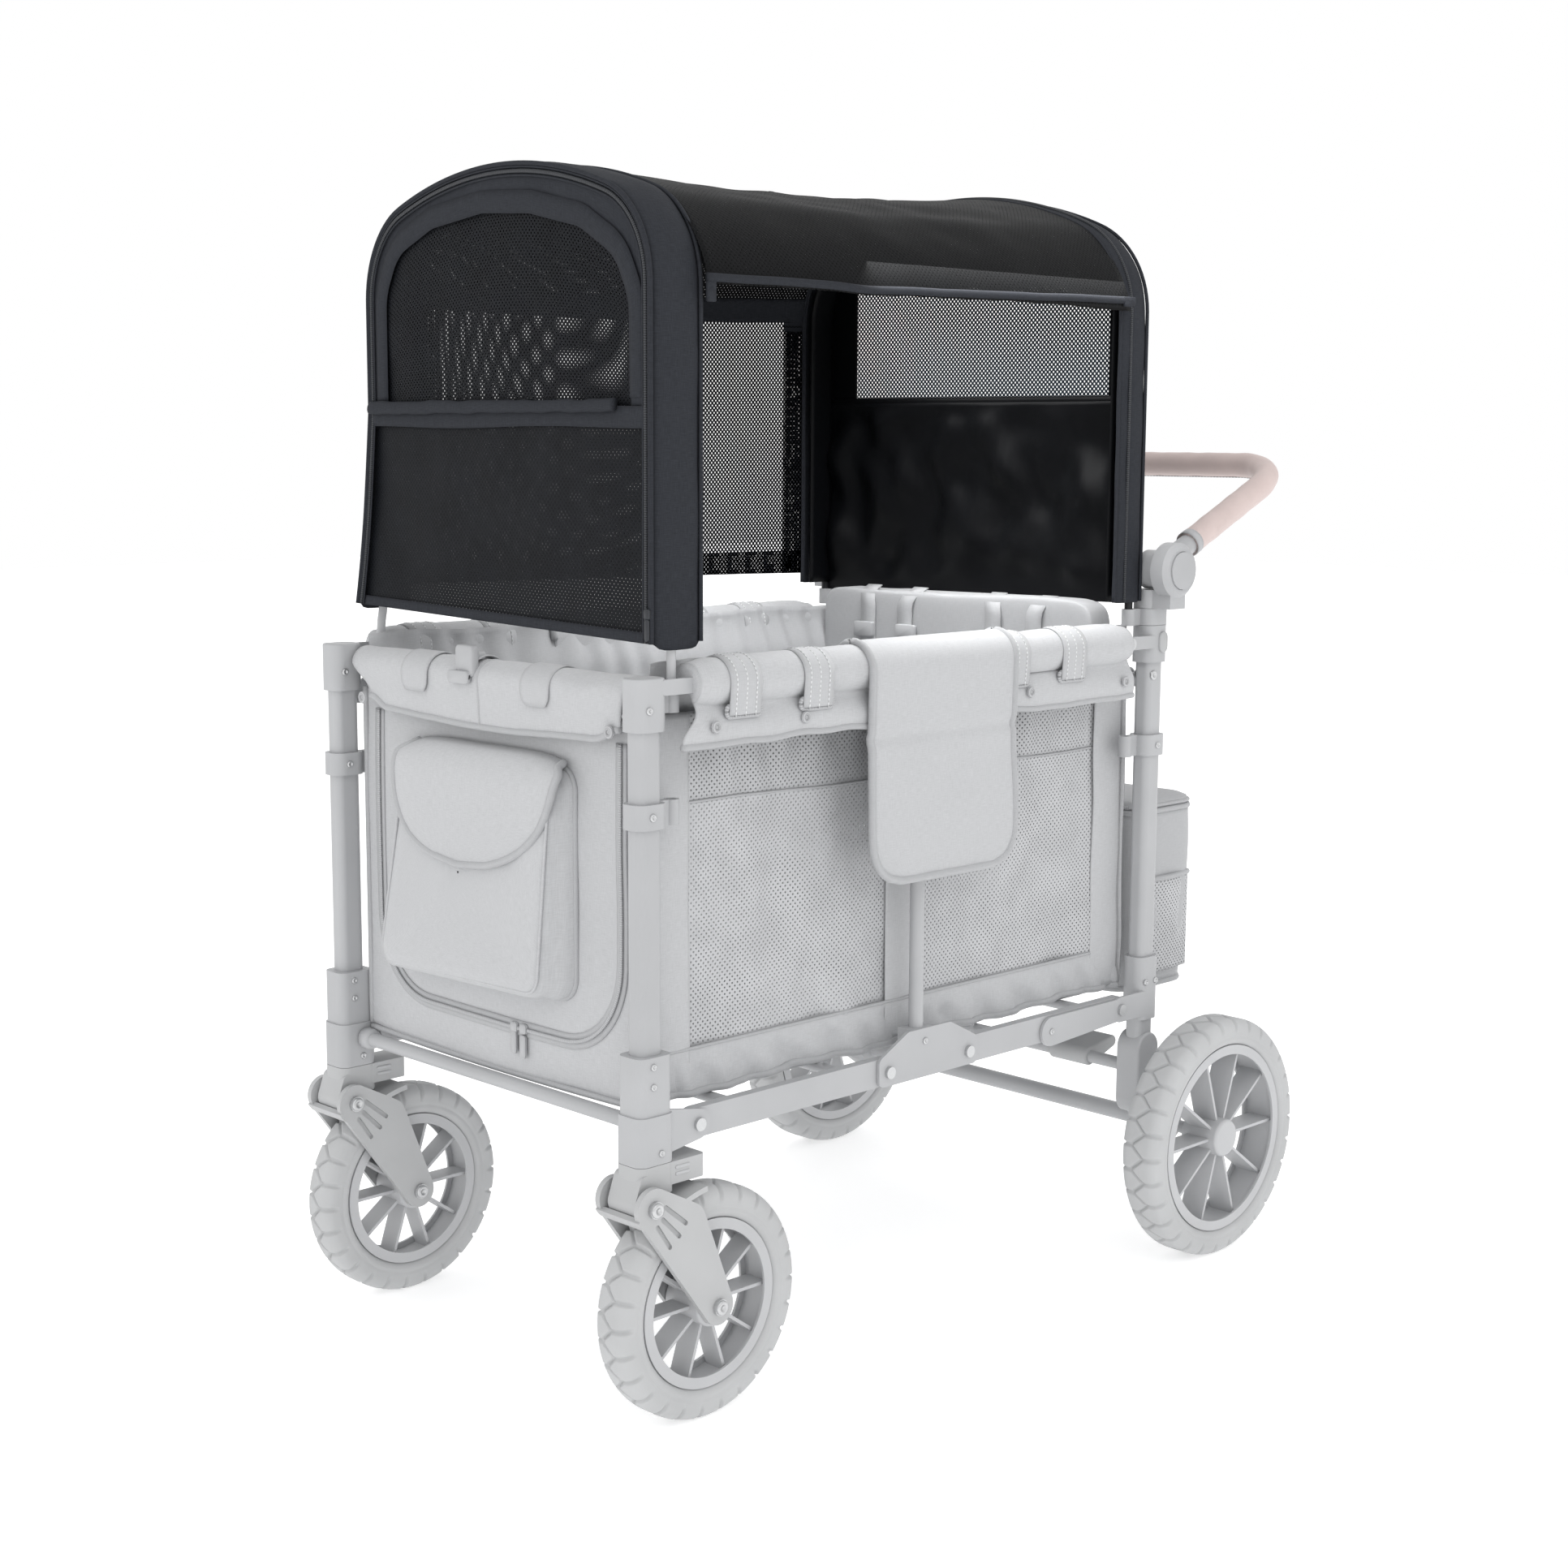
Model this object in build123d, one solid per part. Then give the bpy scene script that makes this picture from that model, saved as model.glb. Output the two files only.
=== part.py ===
from build123d import *
import os
from math import atan2, cos, pi, radians, sin

os.makedirs("parts", exist_ok=True)

# Folding stroller wagon, millimetres. X across, -Y front, +Y rear (handle), +Z up.
# Sizes are set about a point on the ground midway between the four posts.

# Frame posts
POST_X = 266.0
POST_Y = 419.0
POST_WIDTH = 24.0
POST_DEPTH = 31.0
POST_CORNER = 8.0
POST_WALL = 1.6
SLIP = 0.2
GAP = 0.5
CAP_ROOF = 4.0

# Wheels
FRONT_WHEEL_R = 127.0
FRONT_TYRE_WIDTH = 46.0
FRONT_RIM_R = 92.0
REAR_WHEEL_R = 153.0
REAR_TYRE_WIDTH = 54.0
REAR_RIM_R = 120.0
REAR_WHEEL_X = 341.0
REAR_AXLE_Y = 474.0
CASTER_TRAIL = 73.0
SPOKES = 10
SPOKE_THICK = 3.6
RIM_WALL = 5.0
HUB_R = 24.0
HUB_ROUND = 4.0
RIM_LIP = 12.0
RIM_LIP_THICK = 3.0
FRONT_AXLE_R = 5.0
REAR_AXLE_R = 8.0
RUN = 0.05
TREAD_BLOCKS = 30
TREAD_DEPTH = 3.0
TREAD_GROOVE = 4.0
TYRE_ROUND = 0.42
RIM_INSET = 3.0
SPOKE_DEPTH = 0.7
SPOKE_ROOT = 2.0
HUB_CAP = 6.0

# Front end
CASTING_TOP_Z = 408.0
CASTING_BOTTOM_Z = 294.5
CASTING_WIDTH = 42.0
CASTING_DEPTH = 50.0
CASTER_TOP_Z = 294.0
CASTER_BOTTOM_Z = 262.0
STEM_R = 9.0
STEM_TOP_Z = 334.0
CASTING_SOCKET = 60.0
CASTING_NECK = 62.0
CASTING_CORNER = 12.0
NECK_STEP = 4.0
CASTER_BOX_DEPTH = 40.0
CASTER_BOX_CORNER = 6.0
CASTER_BOX_Z = 270.0
FORK_PIVOT_Y = 17.0
FORK_PIVOT_Z = 254.0
FORK_PIVOT_R = 5.0
FORK_ARM_WIDTH = 40.0
FORK_ARM_THICK = 7.0
FORK_CLEAR = 4.0
FORK_NOSE_R = 16.0
FORK_EYE_R = 22.0
FENDER_THICK = 6.0
FENDER_FROM = 97.0
FENDER_TO = 131.0
LIP_GAP = 1.5
LIP_THICK = 6.5
LIP_FROM = 205.0
LIP_TO = 285.0
CROWN_Y = 45.0
CROWN_Z = 224.0
CROWN_R = 27.0
RIB_SLOT_R = 2.6
RIB_SLOT_DEPTH = 3.0
RIB_SLOTS = (((15.0, 1.0), (43.0, 24.0)), ((11.0, 13.0), (34.0, 36.0)), ((4.0, 20.0), (21.0, 45.0)))
BOLT_HEAD_R = 9.0
BUMPER_R = 7.0
BUMPER_BACK = 14.0
BUMPER_LIFT = 0.5
CROSS_TUBE_R = 8.0
CROSS_TUBE_Z = 328.0
CROSS_TUBE_Y = 412.0
CAP_BELOW_CLIP = 16.0
CAP_ABOVE_CLIP = 38.0
CAP_WALL = 5.0
FRONT_CLIP_Z = 757.0
CLIP_HEIGHT = 32.0
CLIP_FLOOR = 3.0
CLIP_WEB = 8.0
FRONT_BAR_Y = 400.0
FRONT_BAR_Z = 770.0

# Fold linkage
PIVOT_Y = 359.0
CENTRE_PIVOT_Y = 68.0
PIVOT_Z = 325.0
PIVOT_R = 4.0
PIN_TAIL = 4.0
PIN_HEAD = 4.0
PIN_HEAD_R = 7.0
OPEN_PIVOT_GAP = 0.5
RAIL_X = 272.0
RAIL_WIDTH = 12.0
RAIL_HEIGHT = 32.0
TOP_RAIL_Z = 785.0
TOP_RAIL_R = 9.0
TOP_RAIL_HEIGHT = 20.0
PLATE_THICK = 4.0
PLATE_GAP = 0.6
PLATE_END_R = 16.0
PLATE_EYE_R = 18.0
PLATE_WAIST_R = 14.0
LUG_END_R = 8.0
FLOOR_THICK = 8.0
SLAT_R = 6.0
SLAT_RISE = 8.0
SLAT_PLACES = (130.0, 300.0)
BOARD_INNER_Y = 4.0
BOARD_OUTER_Y = 390.0
BOARD_HALF_WIDTH = 232.0
BOARD_CORNER = 12.0
CENTRE_POST_R = 8.5
CENTRE_POST_Y = -10.0
CENTRE_WALL = 3.0
CENTRE_CROWN_Y = 36.0
CENTRE_TOP_Z = 366.0
CENTRE_CORNER = 8.0
CENTRE_BLOCK_Y = 18.0
HEAD_DROP = 20.0
EYE_Y = 222.0
EYE_Z = 321.0

# Rear end
LEG_TOP_Z = 285.0
LEG_SOCKET = 40.0
LEG_WIDTH = 34.0
LEG_DEPTH = 42.0
LEG_SWEEP = 4.0
LEG_KNEE_Z = 198.0
LEG_BOSS_R = 22.0
LEG_EDGE = 3.0
AXLE_TUBE_R = 11.0
BRAKE_TUBE_R = 8.0
BRAKE_TUBE_Z = 236.0
PEDAL_X = 160.0
PEDAL_LENGTH = 62.0
PEDAL_REACH = 46.0
PEDAL_THICK = 16.0
PEDAL_RISE = 12.0
PEDAL_WALL = 4.0
PEDAL_EDGE = 3.0
BRACKET_BOTTOM_Z = 303.0
BRACKET_TOP_Z = 384.0
COLLAR_BOTTOM_Z = 759.0
COLLAR_TOP_Z = 805.0
CLIP_TOP_Z = 826.0
CLAMP_Z = 655.0
CLAMP_HEIGHT = 26.0
REAR_BAR_Z = 735.0

# Handle
HUB_Z = 874.0
HUB_DISC_R = 34.0
HUB_DISC_WIDTH = 24.0
HANDLE_X = 274.0
HANDLE_REACH = 305.0
HANDLE_RISE_DEG = 24.5
HANDLE_CORNER_R = 70.0
HANDLE_TUBE_R = 13.0
HANDLE_WALL = 1.6
GRIP_R = 16.5
GRIP_START = 70.0
BUTTON_R = 23.0
BUTTON_PROUD = 2.0
BUTTON_THICK = 8.0
BUTTON_POCKET = 11.0
HUB_FLOOR = 2.0
HUB_SEAT = 1.0
HUB_PIN_R = 8.0
HUB_CHAMFER = 6.0
KNUCKLE_STEP = 10.0
KNUCKLE_WALL = 2.0

# Canopy
POLE_R = 5.0
POLE_INSET_Y = 40.0
POLE_WALL = 3.0
POLE_GAP = 0.4
CANOPY_FRONT_Y = 410.0
CANOPY_REAR_Y = 393.0
CANOPY_HALF_WIDTH = 270.0
CANOPY_HEM_Z = 828.0
SHOULDER_Z = 1184.0
SHOULDER_SHARE = 0.8
FAR_HEM_Z = 850.0
FRONT_CROWN = 134.0
REAR_CROWN = 149.0
BAND_DEPTH = 65.0
CLOTH = 2.0
ROOF_SAG = 6.0

# Basket
BASKET_BOTTOM_Z = 350.0
WALL_TOP_Z = 740.0
SIDE_X = 241.0
REAR_PANEL_Y = 408.0
PANEL_HALF_WIDTH = 233.0
PANEL_CORNER = 12.0
SIDE_THICK = 6.0
FRONT_PANEL_Y = 396.0
ROLL_R = 25.0
ROLL_BORE = 14.0
ROLL_END = 7.0
FLAP_GAP = 1.0
FLAP_THICK = 4.0
FLAP_HALF_WIDTH = 120.0
FLAP_BOTTOM_Z = 550.0
POCKET_HALF_WIDTH = 155.0
POCKET_BOTTOM_Z = 430.0
POCKET_TOP_Z = 702.0
POCKET_DEPTH = 26.0
POCKET_X = -21.0
POCKET_CORNER = 30.0
POCKET_ROUND = 0.6
SEAT_DEPTH = 230.0
SEAT_HEIGHT = 150.0
SEAT_HALF_WIDTH = 222.0
SEAT_ROUND = 18.0
BACKREST_HEIGHT = 370.0
REAR_BACKREST_HEIGHT = 487.0
REAR_SEAT_CLEAR = 3.0
BACKREST_THICK = 45.0
BAG_HALF_WIDTH = 238.0
BAG_BOTTOM_Z = 325.0
BAG_TOP_Z = 560.0
BAG_DEPTH = 148.0
BAG_WALL = 4.0
BAG_CORNER = 25.0
STRAP_X = 150.0
STRAP_WIDTH = 40.0
LID_THICK = 12.0

# Places worked out from the sizes above
RAIL_IN = RAIL_X - RAIL_WIDTH / 2
RAIL_OUT = RAIL_X + RAIL_WIDTH / 2
PLATE_IN = RAIL_OUT + PLATE_GAP
PLATE_OUT = PLATE_IN + PLATE_THICK
POLE_X = CANOPY_HALF_WIDTH - CLOTH - POLE_GAP - POLE_R
BOARD_TOP_Z = PIVOT_Z + SLAT_RISE + SLAT_R + FLOOR_THICK
FRONT_AXLE_Y = -POST_Y + CASTER_TRAIL
CAP_BOTTOM_Z = FRONT_CLIP_Z - CAP_BELOW_CLIP
CAP_TOP_Z = FRONT_CLIP_Z + CAP_ABOVE_CLIP
FRONT_APEX_Z = SHOULDER_Z + FRONT_CROWN
REAR_APEX_Z = SHOULDER_Z + REAR_CROWN
FORK_Y = -POST_Y - FORK_PIVOT_Y
ARM_IN = FRONT_TYRE_WIDTH / 2 + FORK_CLEAR
ARM_OUT = ARM_IN + FORK_ARM_THICK
GRIP_TOP_Y = POST_Y + HANDLE_REACH * cos(radians(HANDLE_RISE_DEG))
Y_MIN = FRONT_AXLE_Y - FRONT_WHEEL_R
Y_MAX = GRIP_TOP_Y + GRIP_R
Y_SHIFT = -(Y_MIN + Y_MAX) / 2

NODES = {}


def keep(name, *solids):
    """Files the separate solids of one node, moved so that the box centre is at the origin."""
    placed = [Pos(0, Y_SHIFT, 0) * solid for solid in solids]
    NODES[name] = placed[0] if len(placed) == 1 else Compound(children=[p.solid() for p in placed])


def both_sides(shape):
    """A right-hand piece and its mirror image on the left."""
    return [shape, mirror(shape, about=Plane.YZ)]


def rod_x(radius, x0, x1, y, z):
    """Round bar along X."""
    bar = Cylinder(radius, x1 - x0, align=(Align.CENTER, Align.CENTER, Align.MIN))
    return Pos(x0, y, z) * Rot(0, 90, 0) * bar


def rod_y(radius, y0, y1, x, z):
    """Round bar along Y."""
    bar = Cylinder(radius, y1 - y0, align=(Align.CENTER, Align.CENTER, Align.MIN))
    return Pos(x, y0, z) * Rot(-90, 0, 0) * bar


def rod_z(radius, z0, z1, x, y):
    """Round bar along Z."""
    bar = Cylinder(radius, z1 - z0, align=(Align.CENTER, Align.CENTER, Align.MIN))
    return Pos(x, y, z0) * bar


def side_extrude(sketch, x0, x1):
    """A (y, z) outline carried along X."""
    plane = Plane(origin=(x0, 0, 0), x_dir=(0, 1, 0), z_dir=(1, 0, 0))
    return extrude(plane * sketch, x1 - x0)


def front_extrude(sketch, y0, y1):
    """An (x, z) outline carried along Y."""
    plane = Plane(origin=(0, y1, 0), x_dir=(1, 0, 0), z_dir=(0, -1, 0))
    return extrude(plane * sketch, y1 - y0)


def level_extrude(sketch, z0, z1):
    """An (x, y) outline carried along Z."""
    return extrude(Pos(0, 0, z0) * sketch, z1 - z0)


def hull(*discs):
    """Outline drawn tight round discs given as (u, v, radius)."""
    rings = Sketch() + [Pos(u, v) * Circle(r) for u, v, r in discs]
    return make_hull(rings.edges())


def sector(inner, thick, start, stop):
    """Part of a ring between two angles in degrees, well under half a turn apart."""
    outer = inner + thick
    a0, a1 = radians(start), radians(stop)
    wedge = outline((0, 0), (2 * outer * cos(a0), 2 * outer * sin(a0)), (2 * outer * cos(a1), 2 * outer * sin(a1)))
    return (Circle(outer) - Circle(inner)) & wedge


def outline(*points):
    """Straight-sided face through points."""
    return make_face(Polyline(*points, close=True))


def post_outline(grow=0.0):
    """Section of a frame post, grown all round."""
    return RectangleRounded(POST_WIDTH + 2 * grow, POST_DEPTH + 2 * grow, POST_CORNER + grow)


def post_tube(y, z0, z1):
    """A hollow right-hand frame post."""
    ring = post_outline() - post_outline(-POST_WALL)
    return Pos(POST_X, y, 0) * level_extrude(ring, z0, z1)


def rail(y_outer, y_inner, height, z, hole_outer, hole_inner):
    """A side rail with round ends bored on both pivots."""
    bar = side_extrude(hull((y_outer, z, height / 2), (y_inner, z, height / 2)), RAIL_IN, RAIL_OUT)
    bar -= rod_x(hole_outer, RAIL_IN, RAIL_OUT, y_outer, z)
    return bar - rod_x(hole_inner, RAIL_IN, RAIL_OUT, y_inner, z)


def pivot_pin(y, z):
    """A headed pin through the plate and the rail."""
    pin = rod_x(PIVOT_R, RAIL_IN - PIN_TAIL, PLATE_OUT + PIN_HEAD, y, z)
    pin += rod_x(PIN_HEAD_R, PLATE_OUT, PLATE_OUT + PIN_HEAD, y, z)
    return pin + rod_x(PIN_HEAD_R, RAIL_IN - PIN_TAIL, RAIL_IN - GAP, y, z)


# Rear frame
def rear_frame():
    """Posts, legs, brackets, collars, cross tubes and hinge pins behind the basket."""
    socket_z = LEG_TOP_Z - LEG_SOCKET
    post = post_tube(POST_Y, socket_z, HUB_Z - HUB_DISC_R + HUB_SEAT)
    keep("rear_posts", *both_sides(post))

    profile = hull((POST_Y, LEG_TOP_Z - LEG_DEPTH / 2, LEG_DEPTH / 2), (POST_Y, LEG_KNEE_Z, LEG_DEPTH / 2))
    profile += hull((POST_Y + LEG_SWEEP, LEG_KNEE_Z, LEG_DEPTH / 2 - LEG_SWEEP),
                    (REAR_AXLE_Y, REAR_WHEEL_R, LEG_BOSS_R))
    leg = side_extrude(profile, POST_X - LEG_WIDTH / 2, POST_X + LEG_WIDTH / 2)
    leg = fillet(leg.edges().filter_by(GeomType.LINE, reverse=True).group_by(Axis.X)[-1], LEG_EDGE)
    leg -= Pos(POST_X, POST_Y, 0) * level_extrude(post_outline(SLIP), socket_z, LEG_TOP_Z)
    leg -= rod_x(REAR_AXLE_R, POST_X - LEG_WIDTH, POST_X + LEG_WIDTH, REAR_AXLE_Y, REAR_WHEEL_R)
    keep("rear_legs", *both_sides(leg))

    wall = PLATE_OUT - POST_X - POST_WIDTH / 2
    sleeve = post_outline(wall) - post_outline(SLIP)
    bracket = Pos(POST_X, POST_Y, 0) * level_extrude(sleeve, BRACKET_BOTTOM_Z, BRACKET_TOP_Z)
    plate = hull((PIVOT_Y, PIVOT_Z, PLATE_END_R), (POST_Y - POST_DEPTH / 2, PIVOT_Z, PLATE_END_R))
    plate += hull((PIVOT_Y, PIVOT_Z, PLATE_WAIST_R), (EYE_Y, EYE_Z, PLATE_EYE_R))
    bracket += side_extrude(plate, PLATE_IN, PLATE_OUT)
    bracket -= rod_x(PIVOT_R, PLATE_IN, PLATE_OUT, PIVOT_Y, PIVOT_Z)
    keep("rear_brackets", *both_sides(bracket))

    collar = Pos(POST_X, POST_Y, 0) * level_extrude(sleeve, COLLAR_BOTTOM_Z, COLLAR_TOP_Z)
    collar += top_lug(POST_Y - POST_DEPTH / 2, PIVOT_Y)
    clip = pole_clip(POST_Y, -1, COLLAR_TOP_Z + GAP, CLIP_TOP_Z, POLE_R + SLIP)
    clamp = pole_clip(POST_Y, -1, CLAMP_Z - CLAMP_HEIGHT / 2, CLAMP_Z + CLAMP_HEIGHT / 2, POLE_R + SLIP)
    keep("rear_collars", *both_sides(collar), *both_sides(clip), *both_sides(clamp))

    inner = POST_X - LEG_WIDTH / 2
    tip = REAR_WHEEL_X + REAR_TYRE_WIDTH / 2 - HUB_CAP
    axle = rod_x(REAR_AXLE_R, -tip, tip, REAR_AXLE_Y, REAR_WHEEL_R)
    axle += rod_x(AXLE_TUBE_R, -inner, inner, REAR_AXLE_Y, REAR_WHEEL_R)
    brake_tube = rod_x(BRAKE_TUBE_R, -inner, inner, POST_Y, BRAKE_TUBE_Z)
    reach = POST_X - POST_WIDTH / 2
    bar = rod_x(TOP_RAIL_R, -reach, reach, POST_Y, REAR_BAR_Z)
    keep("rear_cross_tubes", axle, brake_tube, bar)

    pins = both_sides(pivot_pin(PIVOT_Y, PIVOT_Z)) + both_sides(pivot_pin(PIVOT_Y, TOP_RAIL_Z))
    keep("rear_pins", *pins)


def top_lug(y_post, y_pivot):
    """The plate that carries a top rail's outer pivot beside the pole."""
    sketch = hull((y_pivot, TOP_RAIL_Z, LUG_END_R), (y_post, TOP_RAIL_Z, LUG_END_R))
    lug = side_extrude(sketch, PLATE_IN, PLATE_OUT)
    return lug - rod_x(PIVOT_R, PLATE_IN, PLATE_OUT, y_pivot, TOP_RAIL_Z)


def pole_clip(y_post, inward, z0, z1, bore):
    """A ring on the post joined to an upright sleeve for a canopy pole."""
    y_pole = y_post + inward * POLE_INSET_Y
    ring = Pos(POST_X, y_post) * post_outline(CAP_WALL)
    ring += Pos(POLE_X, y_pole) * Circle(bore + POLE_WALL)
    ring += Pos(POLE_X, (y_post + y_pole) / 2) * Rectangle(CLIP_WEB, POLE_INSET_Y)
    ring -= Pos(POST_X, y_post) * post_outline(SLIP)
    ring -= Pos(POLE_X, y_pole) * Circle(bore)
    return level_extrude(ring, z0, z1)


# Front frame
def front_frame():
    """Posts, caps, castings, cross tubes and hinge pins ahead of the basket."""
    seat_z = CASTING_TOP_Z - CASTING_SOCKET
    post = post_tube(-POST_Y, seat_z, CAP_TOP_Z - CAP_ROOF)
    keep("front_posts", *both_sides(post))

    cap = Pos(POST_X, -POST_Y, 0) * level_extrude(post_outline(CAP_WALL), CAP_BOTTOM_Z, CAP_TOP_Z)
    cap = fillet(cap.faces().sort_by(Axis.Z)[-1].edges(), CAP_ROOF / 2)
    cap += pole_clip(-POST_Y, 1, FRONT_CLIP_Z, FRONT_CLIP_Z + CLIP_HEIGHT, POLE_R + SLIP)
    pole_y = -POST_Y + POLE_INSET_Y
    cap += rod_z(POLE_R + SLIP, FRONT_CLIP_Z, FRONT_CLIP_Z + CLIP_FLOOR, POLE_X, pole_y)
    cap += top_lug(-POST_Y + POST_DEPTH / 2, -PIVOT_Y)
    cap -= Pos(POST_X, -POST_Y, 0) * level_extrude(post_outline(SLIP), CAP_BOTTOM_Z, CAP_TOP_Z - CAP_ROOF)
    clamp = pole_clip(-POST_Y, 1, CLAMP_Z - CLAMP_HEIGHT / 2, CLAMP_Z + CLAMP_HEIGHT / 2, POLE_R + SLIP)
    keep("front_caps", *both_sides(cap), *both_sides(clamp))

    shoulder = CASTING_TOP_Z - CASTING_NECK
    block = RectangleRounded(CASTING_WIDTH, CASTING_DEPTH, CASTING_CORNER)
    neck = RectangleRounded(CASTING_WIDTH - NECK_STEP, CASTING_DEPTH - NECK_STEP, CASTING_CORNER - NECK_STEP / 2)
    casting = level_extrude(block, CASTING_BOTTOM_Z, shoulder) + level_extrude(neck, shoulder, CASTING_TOP_Z)
    casting = Pos(POST_X, -POST_Y, 0) * casting
    back = -POST_Y + CASTING_DEPTH / 2 - LUG_END_R
    lug = hull((-PIVOT_Y, PIVOT_Z, PLATE_END_R), (back, PIVOT_Z + PLATE_END_R, LUG_END_R),
               (back, CASTING_BOTTOM_Z + 2 * LUG_END_R, LUG_END_R))
    casting += side_extrude(lug, PLATE_IN, PLATE_OUT)
    casting -= rod_x(PIVOT_R, PLATE_IN, PLATE_OUT, -PIVOT_Y, PIVOT_Z)
    casting -= Pos(POST_X, -POST_Y, 0) * level_extrude(post_outline(SLIP), seat_z, CASTING_TOP_Z)
    casting -= rod_z(STEM_R + RUN, CASTING_BOTTOM_Z, STEM_TOP_Z + GAP, POST_X, -POST_Y)
    keep("front_castings", *both_sides(casting))

    reach = POST_X - CASTING_WIDTH / 2
    tube = rod_x(CROSS_TUBE_R, -reach, reach, -CROSS_TUBE_Y, CROSS_TUBE_Z)
    cap_face = POST_X - POST_WIDTH / 2 - CAP_WALL
    bar = rod_x(TOP_RAIL_R, -cap_face, cap_face, -FRONT_BAR_Y, FRONT_BAR_Z)
    keep("front_cross_tubes", tube, bar)

    pins = both_sides(pivot_pin(-PIVOT_Y, PIVOT_Z)) + both_sides(pivot_pin(-PIVOT_Y, TOP_RAIL_Z))
    keep("front_pins", *pins)


# Fold linkage
def fold_linkage():
    """Lower rails with their slats and boards, centre brackets and posts, and the top rails."""
    turning = PIVOT_R + RUN
    open_hole = PIVOT_R + OPEN_PIVOT_GAP
    for name, end in (("rear", 1), ("front", -1)):
        lower = rail(end * PIVOT_Y, end * CENTRE_PIVOT_Y, RAIL_HEIGHT, PIVOT_Z, turning, turning)
        slats = [rod_x(SLAT_R, -RAIL_IN, RAIL_IN, end * y, PIVOT_Z + SLAT_RISE) for y in SLAT_PLACES]
        keep(f"{name}_side_rails", *both_sides(lower), *slats)
        board_z = PIVOT_Z + SLAT_RISE + SLAT_R
        y0, y1 = sorted((end * BOARD_INNER_Y, end * BOARD_OUTER_Y))
        board = Pos(0, (y0 + y1) / 2) * RectangleRounded(2 * BOARD_HALF_WIDTH, y1 - y0, BOARD_CORNER)
        keep(f"{name}_floor_board", level_extrude(board, board_z, board_z + FLOOR_THICK))
        top = rail(end * PIVOT_Y, end * CENTRE_PIVOT_Y, TOP_RAIL_HEIGHT, TOP_RAIL_Z, turning, open_hole)
        keep(f"{name}_top_rails", *both_sides(top))

    post_x = PLATE_IN - CENTRE_POST_R - GAP
    block_in = post_x - CENTRE_POST_R - CENTRE_WALL
    end_y = CENTRE_PIVOT_Y + PLATE_END_R
    low_z = PIVOT_Z - PLATE_END_R
    ear_z = PIVOT_Z + PLATE_END_R
    plate = outline((-end_y, low_z), (end_y, low_z), (end_y, ear_z), (CENTRE_CROWN_Y, CENTRE_TOP_Z),
                    (-CENTRE_CROWN_Y, CENTRE_TOP_Z), (-end_y, ear_z))
    plate = fillet(plate.vertices(), CENTRE_CORNER)
    bracket = side_extrude(plate, PLATE_IN, PLATE_OUT)
    block = Pos((block_in + PLATE_IN) / 2, CENTRE_POST_Y) * Rectangle(PLATE_IN - block_in, 2 * CENTRE_BLOCK_Y)
    bracket += level_extrude(block, PIVOT_Z, CENTRE_TOP_Z)
    bracket -= rod_z(CENTRE_POST_R, PIVOT_Z + CENTRE_WALL, CENTRE_TOP_Z, post_x, CENTRE_POST_Y)
    head = side_extrude(hull((-CENTRE_PIVOT_Y, TOP_RAIL_Z, LUG_END_R), (CENTRE_PIVOT_Y, TOP_RAIL_Z, LUG_END_R)),
                        PLATE_IN, PLATE_OUT)
    head += level_extrude(block, TOP_RAIL_Z - HEAD_DROP, TOP_RAIL_Z + LUG_END_R)
    head -= rod_z(CENTRE_POST_R, TOP_RAIL_Z - HEAD_DROP, TOP_RAIL_Z, post_x, CENTRE_POST_Y)
    for y in (-CENTRE_PIVOT_Y, CENTRE_PIVOT_Y):
        bracket -= rod_x(PIVOT_R, PLATE_IN, PLATE_OUT, y, PIVOT_Z)
        head -= rod_x(PIVOT_R, PLATE_IN, PLATE_OUT, y, TOP_RAIL_Z)
    keep("centre_brackets", *both_sides(bracket), *both_sides(head))

    tube = rod_z(CENTRE_POST_R, PIVOT_Z + CENTRE_WALL, TOP_RAIL_Z, post_x, CENTRE_POST_Y)
    keep("centre_posts", *both_sides(tube))
    pins = [pivot_pin(y, z) for y in (-CENTRE_PIVOT_Y, CENTRE_PIVOT_Y) for z in (PIVOT_Z, TOP_RAIL_Z)]
    keep("centre_pins", *[p for pin in pins for p in both_sides(pin)])


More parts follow.
